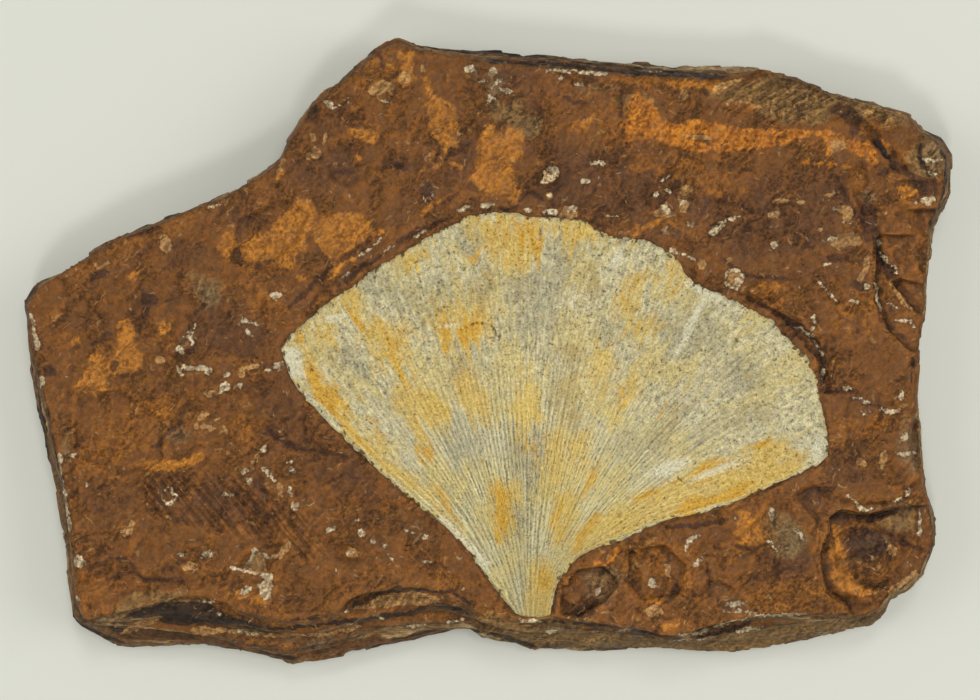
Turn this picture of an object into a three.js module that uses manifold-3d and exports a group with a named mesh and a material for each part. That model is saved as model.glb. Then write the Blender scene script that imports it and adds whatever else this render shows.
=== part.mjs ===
// A fossil ginkgo leaf on a loose slab of brown siliceous shale.
// Millimetres, +Z up. The origin is under the middle of the slab, on the surface it rests on.
// +X runs along the slab's long side, and +Y away from the leaf's stalk end, towards its fan.
import * as THREE from 'three';
import { mergeVertices } from 'three/addons/utils/BufferGeometryUtils.js';
import Module from 'manifold-3d';

const wasm = await Module();
wasm.setup();

// Driving dimensions
const SLAB_THICKNESS = 14;
const BEDDING_GRID = 4;
const LEAF_PROUD = 0.35;
const LEAF_DEPTH = 0.6;
const GAP = 0.3;
const LEAF_COLUMNS = 48;
const LEAF_ROWS = 10;
const FLUTES = 12;
const FLUTE_HEIGHT = 0.12;
const CLOSEST_RAYS = 0.016;
const CLEAR = 8;
const REACH = [70, 48];

// The edge of the split bedding face, anticlockwise seen from below, clockwise from above,
// starting at the left corner.
const RIM = [
  [-62.3, 6.5], [-60.4, 9], [-56.7, 11.2], [-51.4, 14.5], [-45.7, 16.9], [-37.7, 20.1],
  [-33.3, 22.2], [-30.5, 23.8], [-28.1, 25.8], [-26.6, 28.7], [-23.2, 33.6], [-19.8, 36.3],
  [-14.7, 40.6], [-12.3, 41.8], [-9.4, 40.9], [-4.9, 40.3], [0, 39.6], [5, 39], [10, 38.5],
  [20, 37.5], [33, 37], [36, 37.8], [41.6, 36.9], [45.8, 35], [52.7, 33.1], [56.6, 31.8],
  [58.1, 30], [60.8, 28.4], [61.8, 26.4], [61.5, 22.2], [60.4, 18.7], [59.5, 17],
  [58.8, 12], [58.6, 6.5], [58, 0], [58, -9], [58.7, -17], [59.4, -21.5], [59.8, -25.8],
  [58.2, -29.7], [56.4, -31.6], [54, -33], [52.6, -34.6], [48, -35.6], [40, -35.7],
  [36, -35.9], [30, -37.2], [24, -38.7], [20, -37.3], [12, -36.7], [9, -35.7], [5, -35.8],
  [0, -35], [-4, -33.2], [-8, -31.9], [-14, -32.3], [-20, -34.5], [-24, -36], [-28, -35.8],
  [-35, -34.8], [-38, -32.9], [-45, -32.9], [-50, -34.4], [-54.5, -36.3], [-55.2, -34],
  [-56.2, -28], [-57.4, -19], [-59.8, -9], [-61.7, 0],
];

// The widest outline of the broken sides, low on the slab, in the same order.
const FOOT = [
  [-64.5, 6.7], [-63, 9.3], [-58.7, 11.6], [-52.8, 15.3], [-47.4, 17.5], [-39.1, 20.8],
  [-34.5, 22.9], [-31.9, 24.7], [-29, 26.8], [-27.6, 29.9], [-24.2, 34.9], [-20.6, 37.7],
  [-15.5, 42.2], [-12.7, 43.6], [-9.8, 42.5], [0, 41.7], [8.2, 41.3], [16.5, 40.7],
  [25.8, 39.9], [34, 39.7], [42.7, 38.3], [47.4, 36.2], [54.6, 34.4], [58.7, 33.2],
  [60.3, 30.9], [63.1, 29.6], [64.5, 27.4], [64.4, 22.7], [63, 18.8], [61.6, 17.3],
  [60.9, 12.4], [60.7, 6.7], [60, 0], [60, -9.3], [60.8, -18], [62.1, -22.1], [62.1, -26.8],
  [60.7, -30.8], [58.7, -33], [56.3, -34.4], [55.6, -36], [53.8, -38.1], [47.4, -39.4],
  [41.2, -40.9], [30.9, -41.5], [20.1, -41.7], [9.8, -41.3], [6.4, -41.6], [4.1, -40.6],
  [-0.7, -39.8], [-2.4, -38.6], [-8.2, -39.2], [-16.2, -40.8], [-20.6, -42.2], [-27.8, -43.7],
  [-34, -42.2], [-39.7, -40.9], [-50.9, -40.5], [-55.1, -39.1], [-57.5, -36.9],
  [-58.7, -28.8], [-60.2, -19.6], [-62.3, -9.3], [-64, 0],
];

// How the broken sides step outwards as they go down: height, and share of the way to FOOT.
const LAMINAE = [
  [17.5, -0.35], [12.3, 0.14], [11.7, 0.32], [9.2, 0.45], [8.6, 0.64], [5.9, 0.78],
  [5.3, 0.94], [3.2, 1], [1.2, 0.96], [0, 0.84],
];

// The leaf's veins, from the stalk end outwards. `at` is how far round the fan edge a vein ends,
// 0 at the left corner and 1 at the right one; the first and last are the leaf's side margins.
const VEINS = [
  { at: 0, path: [[3.7, -35.4], [0.3, -31], [-4, -25.2], [-9.5, -20.5], [-15, -15.8],
    [-23.5, -7.5], [-26.5, -3.6], [-27.9, 0.4]] },
  { at: 0.09, path: [[4.2, -35.6], [1.3, -29.5], [-4, -20.5], [-11, -11], [-16.5, -3], [-22, 6]] },
  { at: 0.256, path: [[4.9, -35.8], [3.2, -28], [-0.5, -14], [-4.5, 0], [-9, 15.6]] },
  { at: 0.4, path: [[5.6, -35.9], [5.3, -25], [5, -10], [4.8, 5], [4.5, 19]] },
  { at: 0.53, path: [[6.4, -35.9], [7.6, -26], [10.3, -12], [13.5, 1.5], [17, 15.5]] },
  { at: 0.667, path: [[6.8, -35.9], [8.9, -27.5], [14.5, -15.5], [20.5, -4], [28, 9.3]] },
  { at: 0.81, path: [[7.2, -35.9], [8, -32.5], [10.2, -28], [18, -18], [27.5, -8.2], [40, 2.3]] },
  { at: 0.906, path: [[7.9, -35.8], [8.5, -32.8], [9.9, -29.6], [13, -26.2], [21, -19.5],
    [31.5, -12.6], [44.9, -6]] },
  { at: 1, path: [[8.5, -35.6], [8.9, -33], [9.4, -31.3], [10.4, -29.9], [11.9, -28.1],
    [14.3, -26.7], [18.2, -25.4], [24, -22.8], [30, -21.4], [36.5, -18.9], [41.5, -16.7],
    [45.2, -14.8]] },
];

// The fan edge, from the left corner over the top to the right corner.
const FAN_EDGE = [
  [-27.9, 0.4], [-27, 2.1], [-22, 6.4], [-16, 10.7], [-11, 13.8], [-7, 16], [-3, 18.2],
  [1, 19], [7, 18.3], [13, 17.8], [15, 16.3], [17, 15.5], [21, 15.2], [25, 13.2],
  [26.8, 10.5], [28, 9.3], [32.5, 7.4], [38, 4.6], [43, -0.5], [44.3, -3.2], [45.3, -7.5],
  [46.2, -13], [46, -14.1], [45.2, -14.8],
];

const shale = new THREE.MeshStandardMaterial({ color: 0x6f4526, roughness: 0.62, metalness: 0 });
const leafCompression = new THREE.MeshStandardMaterial({ color: 0xcfc59b, roughness: 0.85, metalness: 0 });

// Height of the split bedding face: nearly flat, with a low swell and a slight fall to the edges.
function beddingHeight(x, y) {
  const swell = 0.3 * Math.sin(x / 17 + 0.6) * Math.cos(y / 13) + 0.15 * Math.sin(x / 7 - y / 9);
  const fall = 0.0002 * (x * x + 1.6 * y * y);
  return SLAB_THICKNESS + 0.25 + swell - fall;
}

// Solid tools
function solid(geometry) {
  const bare = geometry.clone();
  bare.deleteAttribute('normal');
  bare.deleteAttribute('uv');
  const merged = mergeVertices(bare, 1e-4);
  return new wasm.Manifold(new wasm.Mesh({
    numProp: 3,
    vertProperties: new Float32Array(merged.attributes.position.array),
    triVerts: new Uint32Array(merged.index.array),
  }));
}

function geometryOf(manifold) {
  const mesh = manifold.getMesh();
  const geometry = new THREE.BufferGeometry();
  geometry.setAttribute('position', new THREE.BufferAttribute(mesh.vertProperties, 3));
  geometry.setIndex(new THREE.BufferAttribute(mesh.triVerts, 1));
  return geometry;
}

function indexed(points, faces) {
  const geometry = new THREE.BufferGeometry();
  geometry.setAttribute('position', new THREE.Float32BufferAttribute(points.flat(), 3));
  geometry.setIndex(faces.flat());
  return geometry;
}

// A closed sheet between two height functions, over columns x rows of plan positions.
function sheetBetween(plan, topHeight, bottomHeight) {
  const rows = plan.length;
  const columns = plan[0].length;
  const points = [];
  for (const height of [topHeight, bottomHeight]) {
    for (let r = 0; r < rows; r++) {
      for (let c = 0; c < columns; c++) {
        const [x, y] = plan[r][c];
        points.push([x, y, height(x, y, c / (columns - 1), r / (rows - 1))]);
      }
    }
  }
  const top = (r, c) => r * columns + c;
  const under = (r, c) => rows * columns + r * columns + c;
  const faces = [];
  for (let r = 0; r < rows - 1; r++) {
    for (let c = 0; c < columns - 1; c++) {
      faces.push([top(r, c), top(r, c + 1), top(r + 1, c + 1)], [top(r, c), top(r + 1, c + 1), top(r + 1, c)]);
      faces.push([under(r, c), under(r + 1, c + 1), under(r, c + 1)]);
      faces.push([under(r, c), under(r + 1, c), under(r + 1, c + 1)]);
    }
  }
  const wall = (a, b) => faces.push([top(...a), under(...a), under(...b)], [top(...a), under(...b), top(...b)]);
  for (let c = 0; c < columns - 1; c++) {
    wall([0, c], [0, c + 1]);
    wall([rows - 1, c + 1], [rows - 1, c]);
  }
  for (let r = 0; r < rows - 1; r++) {
    wall([r + 1, 0], [r, 0]);
    wall([r, columns - 1], [r + 1, columns - 1]);
  }
  return solid(indexed(points, faces));
}

// Everything more than `depth` below the bedding face is left out of this block.
function aboveBedding(depth) {
  const plan = [];
  for (let y = -REACH[1]; y <= REACH[1]; y += BEDDING_GRID) {
    const row = [];
    for (let x = -REACH[0]; x <= REACH[0]; x += BEDDING_GRID) {
      row.push([x, y]);
    }
    plan.push(row);
  }
  const ceiling = () => SLAB_THICKNESS + CLEAR;
  return sheetBetween(plan, ceiling, (x, y) => beddingHeight(x, y) - depth);
}

function prism(outline, low, high) {
  const shape = new THREE.Shape(outline.map(([x, y]) => new THREE.Vector2(x, y)));
  const geometry = new THREE.ExtrudeGeometry(shape, { depth: high - low, bevelEnabled: false });
  geometry.translate(0, 0, low);
  return solid(geometry);
}

// A chunky rounded lump or scoop with the given half sizes, turned about Z by `turn` degrees.
function lens(x, y, z, halfSizes, turn = 0) {
  const geometry = new THREE.IcosahedronGeometry(1, halfSizes[0] > 2.5 ? 2 : 1);
  geometry.scale(...halfSizes);
  geometry.rotateZ(THREE.MathUtils.degToRad(turn));
  geometry.translate(x, y, z);
  return solid(geometry);
}

// A block whose flat underside passes through a point and falls `slope` degrees towards `bearing`.
function facetCutter(x, y, z, length, width, bearing, slope) {
  const geometry = new THREE.BoxGeometry(width, length, CLEAR);
  geometry.translate(0, 0, CLEAR / 2);
  geometry.rotateY(THREE.MathUtils.degToRad(slope));
  geometry.rotateZ(THREE.MathUtils.degToRad(bearing));
  geometry.translate(x, y, z);
  return solid(geometry);
}

// The slab's broken block
function reachOf(outline, angle) {
  const [cos, sin] = [Math.cos(angle), Math.sin(angle)];
  let best = 0;
  outline.forEach(([x1, y1], i) => {
    const [x2, y2] = outline[(i + 1) % outline.length];
    const [dx, dy] = [x2 - x1, y2 - y1];
    const cross = cos * dy - sin * dx;
    const along = (x1 * dy - y1 * dx) / cross;
    const share = (x1 * sin - y1 * cos) / cross;
    if (along > best && share >= -1e-9 && share <= 1 + 1e-9) {
      best = along;
    }
  });
  return best;
}

function brokenBlock() {
  const angles = [...RIM, ...FOOT].map(([x, y]) => Math.atan2(y, x)).sort((a, b) => a - b);
  const kept = angles.filter((angle, i) => i === 0 || angle - angles[i - 1] > CLOSEST_RAYS);
  const count = kept.length;
  const points = [];
  for (const [height, share] of LAMINAE) {
    for (const angle of kept) {
      const tilt = 0.7 * Math.sin(3 * angle + 1) + 0.45 * Math.sin(7 * angle);
      const middle = height > 2 && height < SLAB_THICKNESS ? 1 : 0;
      const wear = middle * 0.06 * Math.sin(11 * angle + height);
      const rim = reachOf(RIM, angle);
      const foot = reachOf(FOOT, angle);
      const radius = rim + (foot - rim) * (share + wear);
      points.push([radius * Math.cos(angle), radius * Math.sin(angle), height + middle * tilt]);
    }
  }
  const faces = [];
  for (let level = 0; level < LAMINAE.length - 1; level++) {
    for (let i = 0; i < count; i++) {
      const [a, b] = [level * count + i, level * count + (i + 1) % count];
      faces.push([a, a + count, b + count], [a, b + count, b]);
    }
  }
  const topMiddle = points.push([0, 0, LAMINAE[0][0]]) - 1;
  const underMiddle = points.push([0, 0, 0]) - 1;
  const lastRing = (LAMINAE.length - 1) * count;
  for (let i = 0; i < count; i++) {
    const next = (i + 1) % count;
    faces.push([topMiddle, i, next], [underMiddle, lastRing + next, lastRing + i]);
  }
  return solid(indexed(points, faces));
}

// The leaf's plan: rows from the stalk end to the fan edge, columns from left to right.
function along(path, share) {
  const curve = new THREE.CatmullRomCurve3(path.map(([x, y]) => new THREE.Vector3(x, y, 0)), false, 'centripetal');
  const point = curve.getPointAt(share);
  return [point.x, point.y];
}

function alongStraight(path, share) {
  const lengths = [0];
  for (let i = 1; i < path.length; i++) {
    lengths.push(lengths[i - 1] + Math.hypot(path[i][0] - path[i - 1][0], path[i][1] - path[i - 1][1]));
  }
  const wanted = share * lengths.at(-1);
  const i = Math.max(1, lengths.findIndex((length) => length >= wanted - 1e-9));
  const part = (wanted - lengths[i - 1]) / (lengths[i] - lengths[i - 1]);
  return [0, 1].map((k) => path[i - 1][k] + part * (path[i][k] - path[i - 1][k]));
}

function leafPoint(across, out) {
  const right = Math.max(1, VEINS.findIndex((vein) => vein.at >= across));
  const [a, b] = [VEINS[right - 1], VEINS[right]];
  const share = (across - a.at) / (b.at - a.at);
  const between = (t) => {
    const [p, q] = [along(a.path, t), along(b.path, t)];
    return [0, 1].map((k) => p[k] + share * (q[k] - p[k]));
  };
  const here = between(out);
  const end = between(1);
  const edge = alongStraight(FAN_EDGE, across);
  return [0, 1].map((k) => here[k] + out * out * (edge[k] - end[k]));
}

function leafPlan() {
  const plan = [];
  for (let r = 0; r <= LEAF_ROWS; r++) {
    const row = [];
    for (let c = 0; c <= LEAF_COLUMNS; c++) {
      row.push(leafPoint(c / LEAF_COLUMNS, r / LEAF_ROWS));
    }
    plan.push(row);
  }
  return plan;
}

function leafOutline(plan, clearance) {
  const last = plan.length - 1;
  const ring = [
    ...plan[last],
    ...plan.slice(1, last).map((row) => row.at(-1)).reverse(),
    ...[...plan[0]].reverse(),
    ...plan.slice(1, last).map((row) => row[0]),
  ];
  return ring.map(([x, y], i) => {
    const [px, py] = ring[(i + ring.length - 1) % ring.length];
    const [nx, ny] = ring[(i + 1) % ring.length];
    const length = Math.hypot(nx - px, ny - py);
    return [x - clearance * (ny - py) / length, y + clearance * (nx - px) / length];
  });
}

const plan = leafPlan();

function leafSolid() {
  const flutes = (across, out) => FLUTE_HEIGHT * Math.sin(2 * Math.PI * FLUTES * across) * Math.min(1, 2 * out);
  const top = (x, y, across, out) => beddingHeight(x, y) + LEAF_PROUD + flutes(across, out);
  return sheetBetween(plan, top, (x, y) => beddingHeight(x, y) - LEAF_DEPTH);
}

// Flakes lost from the bedding face: how deep each step is, and its outline.
const LOST_FLAKES = [
  // Narrow terrace round the leaf's right shoulder
  [0.5, [[34, 8.2], [37.5, 6.6], [40, 5.4], [42.4, 4.2], [44, 2.8], [45.4, 1], [46.2, -1], [46.8, -6],
    [44, -6], [42, -1], [38, 3], [33, 6]]],
  // Steps down to the right edge
  [0.7, [[52.8, 16], [52.6, 10], [53, 6], [54.5, 2.7], [57.5, 0], [66, 0], [66, 16]]],
  [1.5, [[54.8, 9.4], [56, 10], [58.8, 9.5], [66, 9], [66, 1.5], [58, 5.5]]],
  // Shelf along the lower right, and the chip inside it
  [0.5, [[41.5, -19.5], [44, -18], [47, -19.3], [50, -20.5], [60, -19.4], [66, -20], [66, -40],
    [50, -40], [45, -31], [44, -28], [45.5, -24.5]]],
  [2.2, [[46.5, -22.4], [47.8, -21.4], [50, -21.9], [52, -22.2], [54, -21.6], [58, -20.8], [66, -20.8],
    [66, -40], [52, -40], [49, -34.5], [46.5, -33], [45.8, -31], [45.2, -28], [46.3, -24.5]]],
  // Blocky ground beside the stalk end
  [0.8, [[9.6, -31.4], [12, -29.5], [16, -29], [18, -31.5], [16, -34], [12, -36], [10, -36]]],
  [0.6, [[19, -27], [24, -26], [27, -29], [26, -33], [21, -34], [18.8, -31]]],
  // Thin flakes on the left
  [0.4, [[-35, 12], [-31, 11], [-26, 14], [-24, 19], [-28, 21], [-34, 18]]],
  [0.4, [[-56, -6], [-50, -5], [-44, -9], [-44, -15], [-50, -17], [-56.5, -14]]],
  [0.5, [[-34.5, -29.2], [-32, -26.5], [-27, -25.6], [-30.5, -30]]],
];

// Hollows broken out of the edges: centre, half sizes, turn.
const HOLLOWS = [
  [-40, -36.2, 14.5, [8, 3.2, 2.6], 0],
  [-13, -34.8, 13.2, [7, 2.6, 2.2], 0],
  [20, -41, 12, [10, 3, 3.2], 3],
  [40, -38.6, 12.6, [13, 2.6, 2.4], 0],
  [54, 27.5, 15.2, [4, 1, 1.8], -52],
  [-60, 14, 9, [9, 4, 4], 25],
  [-24, 38, 6, [6, 4, 4], 50],
  [59.5, -12, 13, [2.4, 5, 2.2], 0],
  [-46, -41, 0, [9, 3, 2.2], 4],
  [28, 41, 0, [12, 3, 2], -3],
  [61, 2, 0, [3, 9, 2.4], 0],
  [-61, -16, 0, [3, 8, 2], 5],
];

// Thin flakes lost from the underside near its edges: depth and outline.
const UNDER_FLAKES = [
  [0.8, [[-70, 2], [-56, 4], [-48, -2], [-51, -12], [-58, -16], [-70, -18]]],
  [0.6, [[30, -48], [33, -36], [41, -32], [50, -35], [56, -48]]],
  [0.7, [[4, 48], [8, 36], [17, 33], [25, 36], [27, 48]]],
];

// Lumps standing out of the rock: centre, height over the bedding face, half sizes, turn.
const LUMPS = [
  [52, -27, -2.6, [4.6, 5.2, 1.6], 20],
  [57.5, 23.5, -1, [4.6, 6.4, 1.9], 8],
  [50.2, 23.2, -0.1, [2, 1.2, 0.7], 60],
  [8.3, 23.5, 0, [1.6, 0.9, 0.8], 35],
  [8.3, 21.3, 0, [0.6, 0.5, 0.5], 0],
  [-18.6, -27.1, 0, [1.2, 0.8, 0.7], -10],
  [33.3, 10.2, -0.2, [1.5, 1.4, 0.7], 0],
  [36.8, 8.4, -0.1, [1.9, 0.9, 0.5], 10],
];

function slabSolid() {
  let slab = brokenBlock().subtract(aboveBedding(0));
  for (const [x, y, over, halfSizes, turn] of LUMPS.slice(2)) {
    slab = slab.add(lens(x, y, beddingHeight(x, y) + over, halfSizes, turn));
  }
  for (const [depth, outline] of LOST_FLAKES) {
    slab = slab.subtract(prism([...outline].reverse(), 0, SLAB_THICKNESS + CLEAR).intersect(aboveBedding(depth)));
  }
  for (const [x, y, over, halfSizes, turn] of LUMPS.slice(0, 2)) {
    slab = slab.add(lens(x, y, beddingHeight(x, y) + over, halfSizes, turn));
  }
  for (const [x, y, z, halfSizes, turn] of HOLLOWS) {
    slab = slab.subtract(lens(x, y, z, halfSizes, turn));
  }
  for (const [depth, outline] of UNDER_FLAKES) {
    slab = slab.subtract(prism(outline, -CLEAR, depth));
  }
  // Scratched bevel along the far right edge, and the flat broken corner below the knob
  slab = slab.subtract(facetCutter(41, 32.6, SLAB_THICKNESS - 0.5, 26, 16, 76, 24));
  slab = slab.subtract(facetCutter(57.5, 15, SLAB_THICKNESS - 0.7, 9, 12, 0, 24));
  const pocket = prism(leafOutline(plan, GAP), 0, SLAB_THICKNESS + CLEAR);
  return slab.subtract(pocket.intersect(aboveBedding(LEAF_DEPTH + GAP)));
}

const group = new THREE.Group();

const rockSlab = new THREE.Mesh(geometryOf(slabSolid()), shale);
rockSlab.name = 'rock_slab';
group.add(rockSlab);

const ginkgoLeaf = new THREE.Mesh(geometryOf(leafSolid()), leafCompression);
ginkgoLeaf.name = 'ginkgo_leaf';
group.add(ginkgoLeaf);

// The origin goes under the middle of the slab.
const box = new THREE.Box3().setFromObject(rockSlab);
group.position.set(-(box.min.x + box.max.x) / 2, -(box.min.y + box.max.y) / 2, -box.min.z);

export default group;
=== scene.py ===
import math

import bpy
import numpy as np
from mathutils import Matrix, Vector
from mathutils.bvhtree import BVHTree


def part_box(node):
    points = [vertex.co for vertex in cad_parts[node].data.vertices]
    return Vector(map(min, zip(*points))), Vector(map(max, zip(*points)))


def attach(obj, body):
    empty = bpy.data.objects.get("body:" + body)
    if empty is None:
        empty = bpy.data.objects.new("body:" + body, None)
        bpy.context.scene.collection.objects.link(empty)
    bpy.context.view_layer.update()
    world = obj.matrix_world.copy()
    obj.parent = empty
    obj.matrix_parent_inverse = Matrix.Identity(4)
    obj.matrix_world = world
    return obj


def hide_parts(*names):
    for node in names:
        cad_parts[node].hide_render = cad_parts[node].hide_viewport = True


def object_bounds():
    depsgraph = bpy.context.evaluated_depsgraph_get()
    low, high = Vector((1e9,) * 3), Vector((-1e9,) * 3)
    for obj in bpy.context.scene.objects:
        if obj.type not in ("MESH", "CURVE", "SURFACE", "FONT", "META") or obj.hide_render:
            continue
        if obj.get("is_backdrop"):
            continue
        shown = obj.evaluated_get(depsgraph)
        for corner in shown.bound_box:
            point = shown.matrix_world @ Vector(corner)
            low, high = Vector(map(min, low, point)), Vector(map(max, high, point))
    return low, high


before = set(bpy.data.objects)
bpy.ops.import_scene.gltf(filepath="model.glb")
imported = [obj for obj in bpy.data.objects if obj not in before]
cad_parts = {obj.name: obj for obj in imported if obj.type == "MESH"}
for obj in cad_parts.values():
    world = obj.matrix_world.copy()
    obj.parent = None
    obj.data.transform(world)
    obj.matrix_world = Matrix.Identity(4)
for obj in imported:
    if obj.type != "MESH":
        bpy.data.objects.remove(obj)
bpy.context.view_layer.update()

# ---------------------------------------------------------------------------------------------
# The slab. A loose piece of brown siliceous shale, broken to shape round its edges and split
# along its bedding. It is one stone: the flakes, seeds and fossil crumbs on its face are part
# of it. Silica and iron made it hard, slightly waxy, and brown to rusty.
# ---------------------------------------------------------------------------------------------
MM = 0.001
# The specimen's sizes and places are in mm, and are turned to metres where a mesh or a node
# takes them.
SLAB_THICKNESS = 14
SLAB_VOXEL = 0.32
# Up between these heights the sides give way to the split face
FACE_FROM, FACE_FULL = 8, 9.5
# Shares of the mesh that stay where it is seen less
KEPT_UNDERNEATH = 0.05
KEPT_ON_SIDES = 0.36
# How many random draws a noise or a field of shards picks from; a power of two
DRAWS = 4096
# The square cells that local means are taken in: their size, where they start, rows and columns
CELL, CELLS_LEFT, CELLS_FRONT, CELL_ROWS, CELL_COLUMNS = 0.4, -70, -50, 250, 350


def select_only(piece):
    bpy.ops.object.select_all(action="DESELECT")
    piece.select_set(True)
    bpy.context.view_layer.objects.active = piece


def finish_modifier(piece, kind, **settings):
    modifier = piece.modifiers.new(kind.title(), kind)
    for name, value in settings.items():
        setattr(modifier, name, value)
    select_only(piece)
    bpy.ops.object.modifier_apply(modifier=modifier.name)


def read_points(mesh, what="co"):
    values = np.empty(len(mesh.vertices) * 3)
    mesh.vertices.foreach_get(what, values)
    return values.reshape(-1, 3)


def write_attribute(mesh, name, values):
    attribute = mesh.attributes.new(name, "FLOAT", "POINT")
    attribute.data.foreach_set("value", np.asarray(values, dtype=np.float32))


def ease(low, high, value):
    share = np.clip((value - low) / (high - low), 0, 1)
    return share * share * (3 - 2 * share)


def noise(points, size, seed, octaves=1, stretch=None):
    """Smooth gradient noise, about -1 to 1, with the largest features `size` mm wide."""
    rng = np.random.default_rng(seed)
    hops = rng.permutation(DRAWS)
    slopes = rng.normal(size=(points.shape[1], DRAWS))
    slopes = (slopes / np.linalg.norm(slopes, axis=0)).astype(np.float32)
    place = points.T / size
    if stretch:
        place = place / np.array(stretch)[:, None]
    total = np.zeros(len(points))
    for octave in range(octaves):
        scaled = place * 2**octave + 17.3 * octave + seed
        cells = np.floor(scaled).astype(np.int64)
        part = (scaled - cells).astype(np.float32)
        weight = part * part * (3 - 2 * part)
        corners = [((), np.zeros(len(points), dtype=np.int64))]
        for cell in cells:
            corners = [(steps + (step,), hops[(key + cell + step) & (DRAWS - 1)])
                       for steps, key in corners for step in (0, 1)]
        for steps, key in corners:
            share = 1.6 * 0.5**octave
            slope = 0
            for axis, step in enumerate(steps):
                share = share * (weight[axis] if step else 1 - weight[axis])
                slope = slope + slopes[axis][key] * (part[axis] - step)
            total += share * slope
    return total


def area(*corners):
    return "area", np.array(corners, dtype=float), 0


def spot(x, y, half_length, half_width, turn=0):
    return "spot", np.array([[x, y]], dtype=float), (half_length, half_width, math.radians(turn))


def spots(*places):
    return [spot(*place) for place in places]


def line(half_width, *corners):
    return "line", np.array(corners, dtype=float), half_width


def lines(half_width, *paths):
    return [line(half_width, *path) for path in paths]


def loop(x, y, half_length, half_width, turn=0, half_thick=0.16, sides=16):
    """The thin outline of an oval, such as the rim of a seed."""
    turn = math.radians(turn)
    angles = np.linspace(0, math.tau, sides + 1)
    oval = [(half_length * math.cos(angle), half_width * math.sin(angle)) for angle in angles]
    return line(half_thick, *((x + u * math.cos(turn) - v * math.sin(turn),
                               y + u * math.sin(turn) + v * math.cos(turn)) for u, v in oval))


def depth_in(shape, x, y):
    """How far inside a shape each point lies in mm, and negative outside it."""
    kind, corners, size = shape
    if kind == "spot":
        half_length, half_width, turn = size
        dx, dy = x - corners[0, 0], y - corners[0, 1]
        lengthwise = (dx * math.cos(turn) + dy * math.sin(turn)) / half_length
        crosswise = (dy * math.cos(turn) - dx * math.sin(turn)) / half_width
        return (1 - np.hypot(lengthwise, crosswise)) * min(half_length, half_width)
    nearest = np.full(len(x), 1e9)
    inside = np.zeros(len(x), dtype=bool)
    closed = kind == "area"
    ends = np.roll(corners, -1, axis=0) if closed else corners[1:]
    for (ax, ay), (bx, by) in zip(corners, ends):
        length = max((bx - ax) ** 2 + (by - ay) ** 2, 1e-9)
        share = np.clip(((x - ax) * (bx - ax) + (y - ay) * (by - ay)) / length, 0, 1)
        nearest = np.minimum(nearest, np.hypot(x - ax - share * (bx - ax), y - ay - share * (by - ay)))
        if closed and ay != by:
            crosses = (ay > y) != (by > y)
            inside ^= crosses & (x < ax + (y - ay) / (by - ay) * (bx - ax))
    if closed:
        return np.where(inside, nearest, -nearest)
    return size - nearest


def cover(shapes, x, y, edge):
    """How far each point is covered by any of the shapes, 0 to 1, fading over `edge` mm."""
    result = np.zeros(len(x))
    for shape in shapes:
        corners, size = shape[1], shape[2]
        reach = edge + (max(size[:2]) if shape[0] == "spot" else size)
        low, high = corners.min(axis=0) - reach, corners.max(axis=0) + reach
        near = np.flatnonzero((x > low[0]) & (x < high[0]) & (y > low[1]) & (y < high[1]))
        share = np.clip(0.5 + depth_in(shape, x[near], y[near]) / edge, 0, 1)
        result[near] = np.maximum(result[near], share)
    return result


def shards(x, y, size, seed):
    """Flat tilted facets like a blocky break, about -1 to 1, each about `size` mm across."""
    rng = np.random.default_rng(seed)
    jitter = rng.uniform(0.1, 0.9, (DRAWS, 2))
    tilt = rng.uniform(-1, 1, (DRAWS, 2))
    level = rng.uniform(-1, 1, DRAWS)
    best = np.full(len(x), 1e9)
    height = np.zeros(len(x))
    cell_x, cell_y = np.floor(x / size).astype(np.int64), np.floor(y / size).astype(np.int64)
    for step_x in (-1, 0, 1):
        for step_y in (-1, 0, 1):
            cx, cy = cell_x + step_x, cell_y + step_y
            # Large odd numbers shuffle the cells, so that neighbours draw unlike facets
            key = ((cx * 73856093) ^ (cy * 19349663) ^ ((cx * cy + 7) * 1274126177)) & (DRAWS - 1)
            dx = x / size - cx - jitter[key, 0]
            dy = y / size - cy - jitter[key, 1]
            distance = np.hypot(dx, dy)
            closer = distance < best
            best = np.where(closer, distance, best)
            own = level[key] + dx * tilt[key, 0] + dy * tilt[key, 1]
            height = np.where(closer, own, height)
    return height


def local_mean(x, y, values, reach):
    """The mean of values over a square of about `reach` mm round each point."""
    column = ((x - CELLS_LEFT) / CELL).astype(int)
    row = ((y - CELLS_FRONT) / CELL).astype(int)
    totals = np.zeros((2, CELL_ROWS, CELL_COLUMNS))
    np.add.at(totals, (0, row, column), values)
    np.add.at(totals, (1, row, column), 1)
    steps = max(1, round(reach / (2 * CELL)))
    for axis in (1, 2):
        totals = sum(np.roll(totals, step, axis) for step in range(-steps, steps + 1))
    return totals[0, row, column] / np.maximum(totals[1, row, column], 1e-9)


def bedding_height(x, y):
    """The plane the stone split along, in mm above its underside: a slight swell and dome."""
    swell = 0.25 + 0.3 * np.sin(x / 17 + 0.6) * np.cos(y / 13) + 0.15 * np.sin(x / 7 - y / 9)
    dome = 0.0002 * (x * x + 1.6 * y * y)
    return SLAB_THICKNESS + swell - dome


# The slab's body starts as the CAD solid, skinned with an even fine mesh.
slab = bpy.data.objects.new("shale_slab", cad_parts["rock_slab"].data.copy())
bpy.context.scene.collection.objects.link(slab)
select_only(slab)
bpy.ops.object.mode_set(mode="EDIT")
bpy.ops.mesh.select_all(action="SELECT")
bpy.ops.mesh.remove_doubles(threshold=1e-6)
bpy.ops.object.mode_set(mode="OBJECT")
finish_modifier(slab, "REMESH", mode="VOXEL", voxel_size=SLAB_VOXEL * MM)
finish_modifier(slab, "SMOOTH", factor=0.4, iterations=1)

points = read_points(slab.data) / MM
normals = read_points(slab.data, "normal")
slab_low, slab_high = (np.array(corner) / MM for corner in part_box("rock_slab"))

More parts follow.
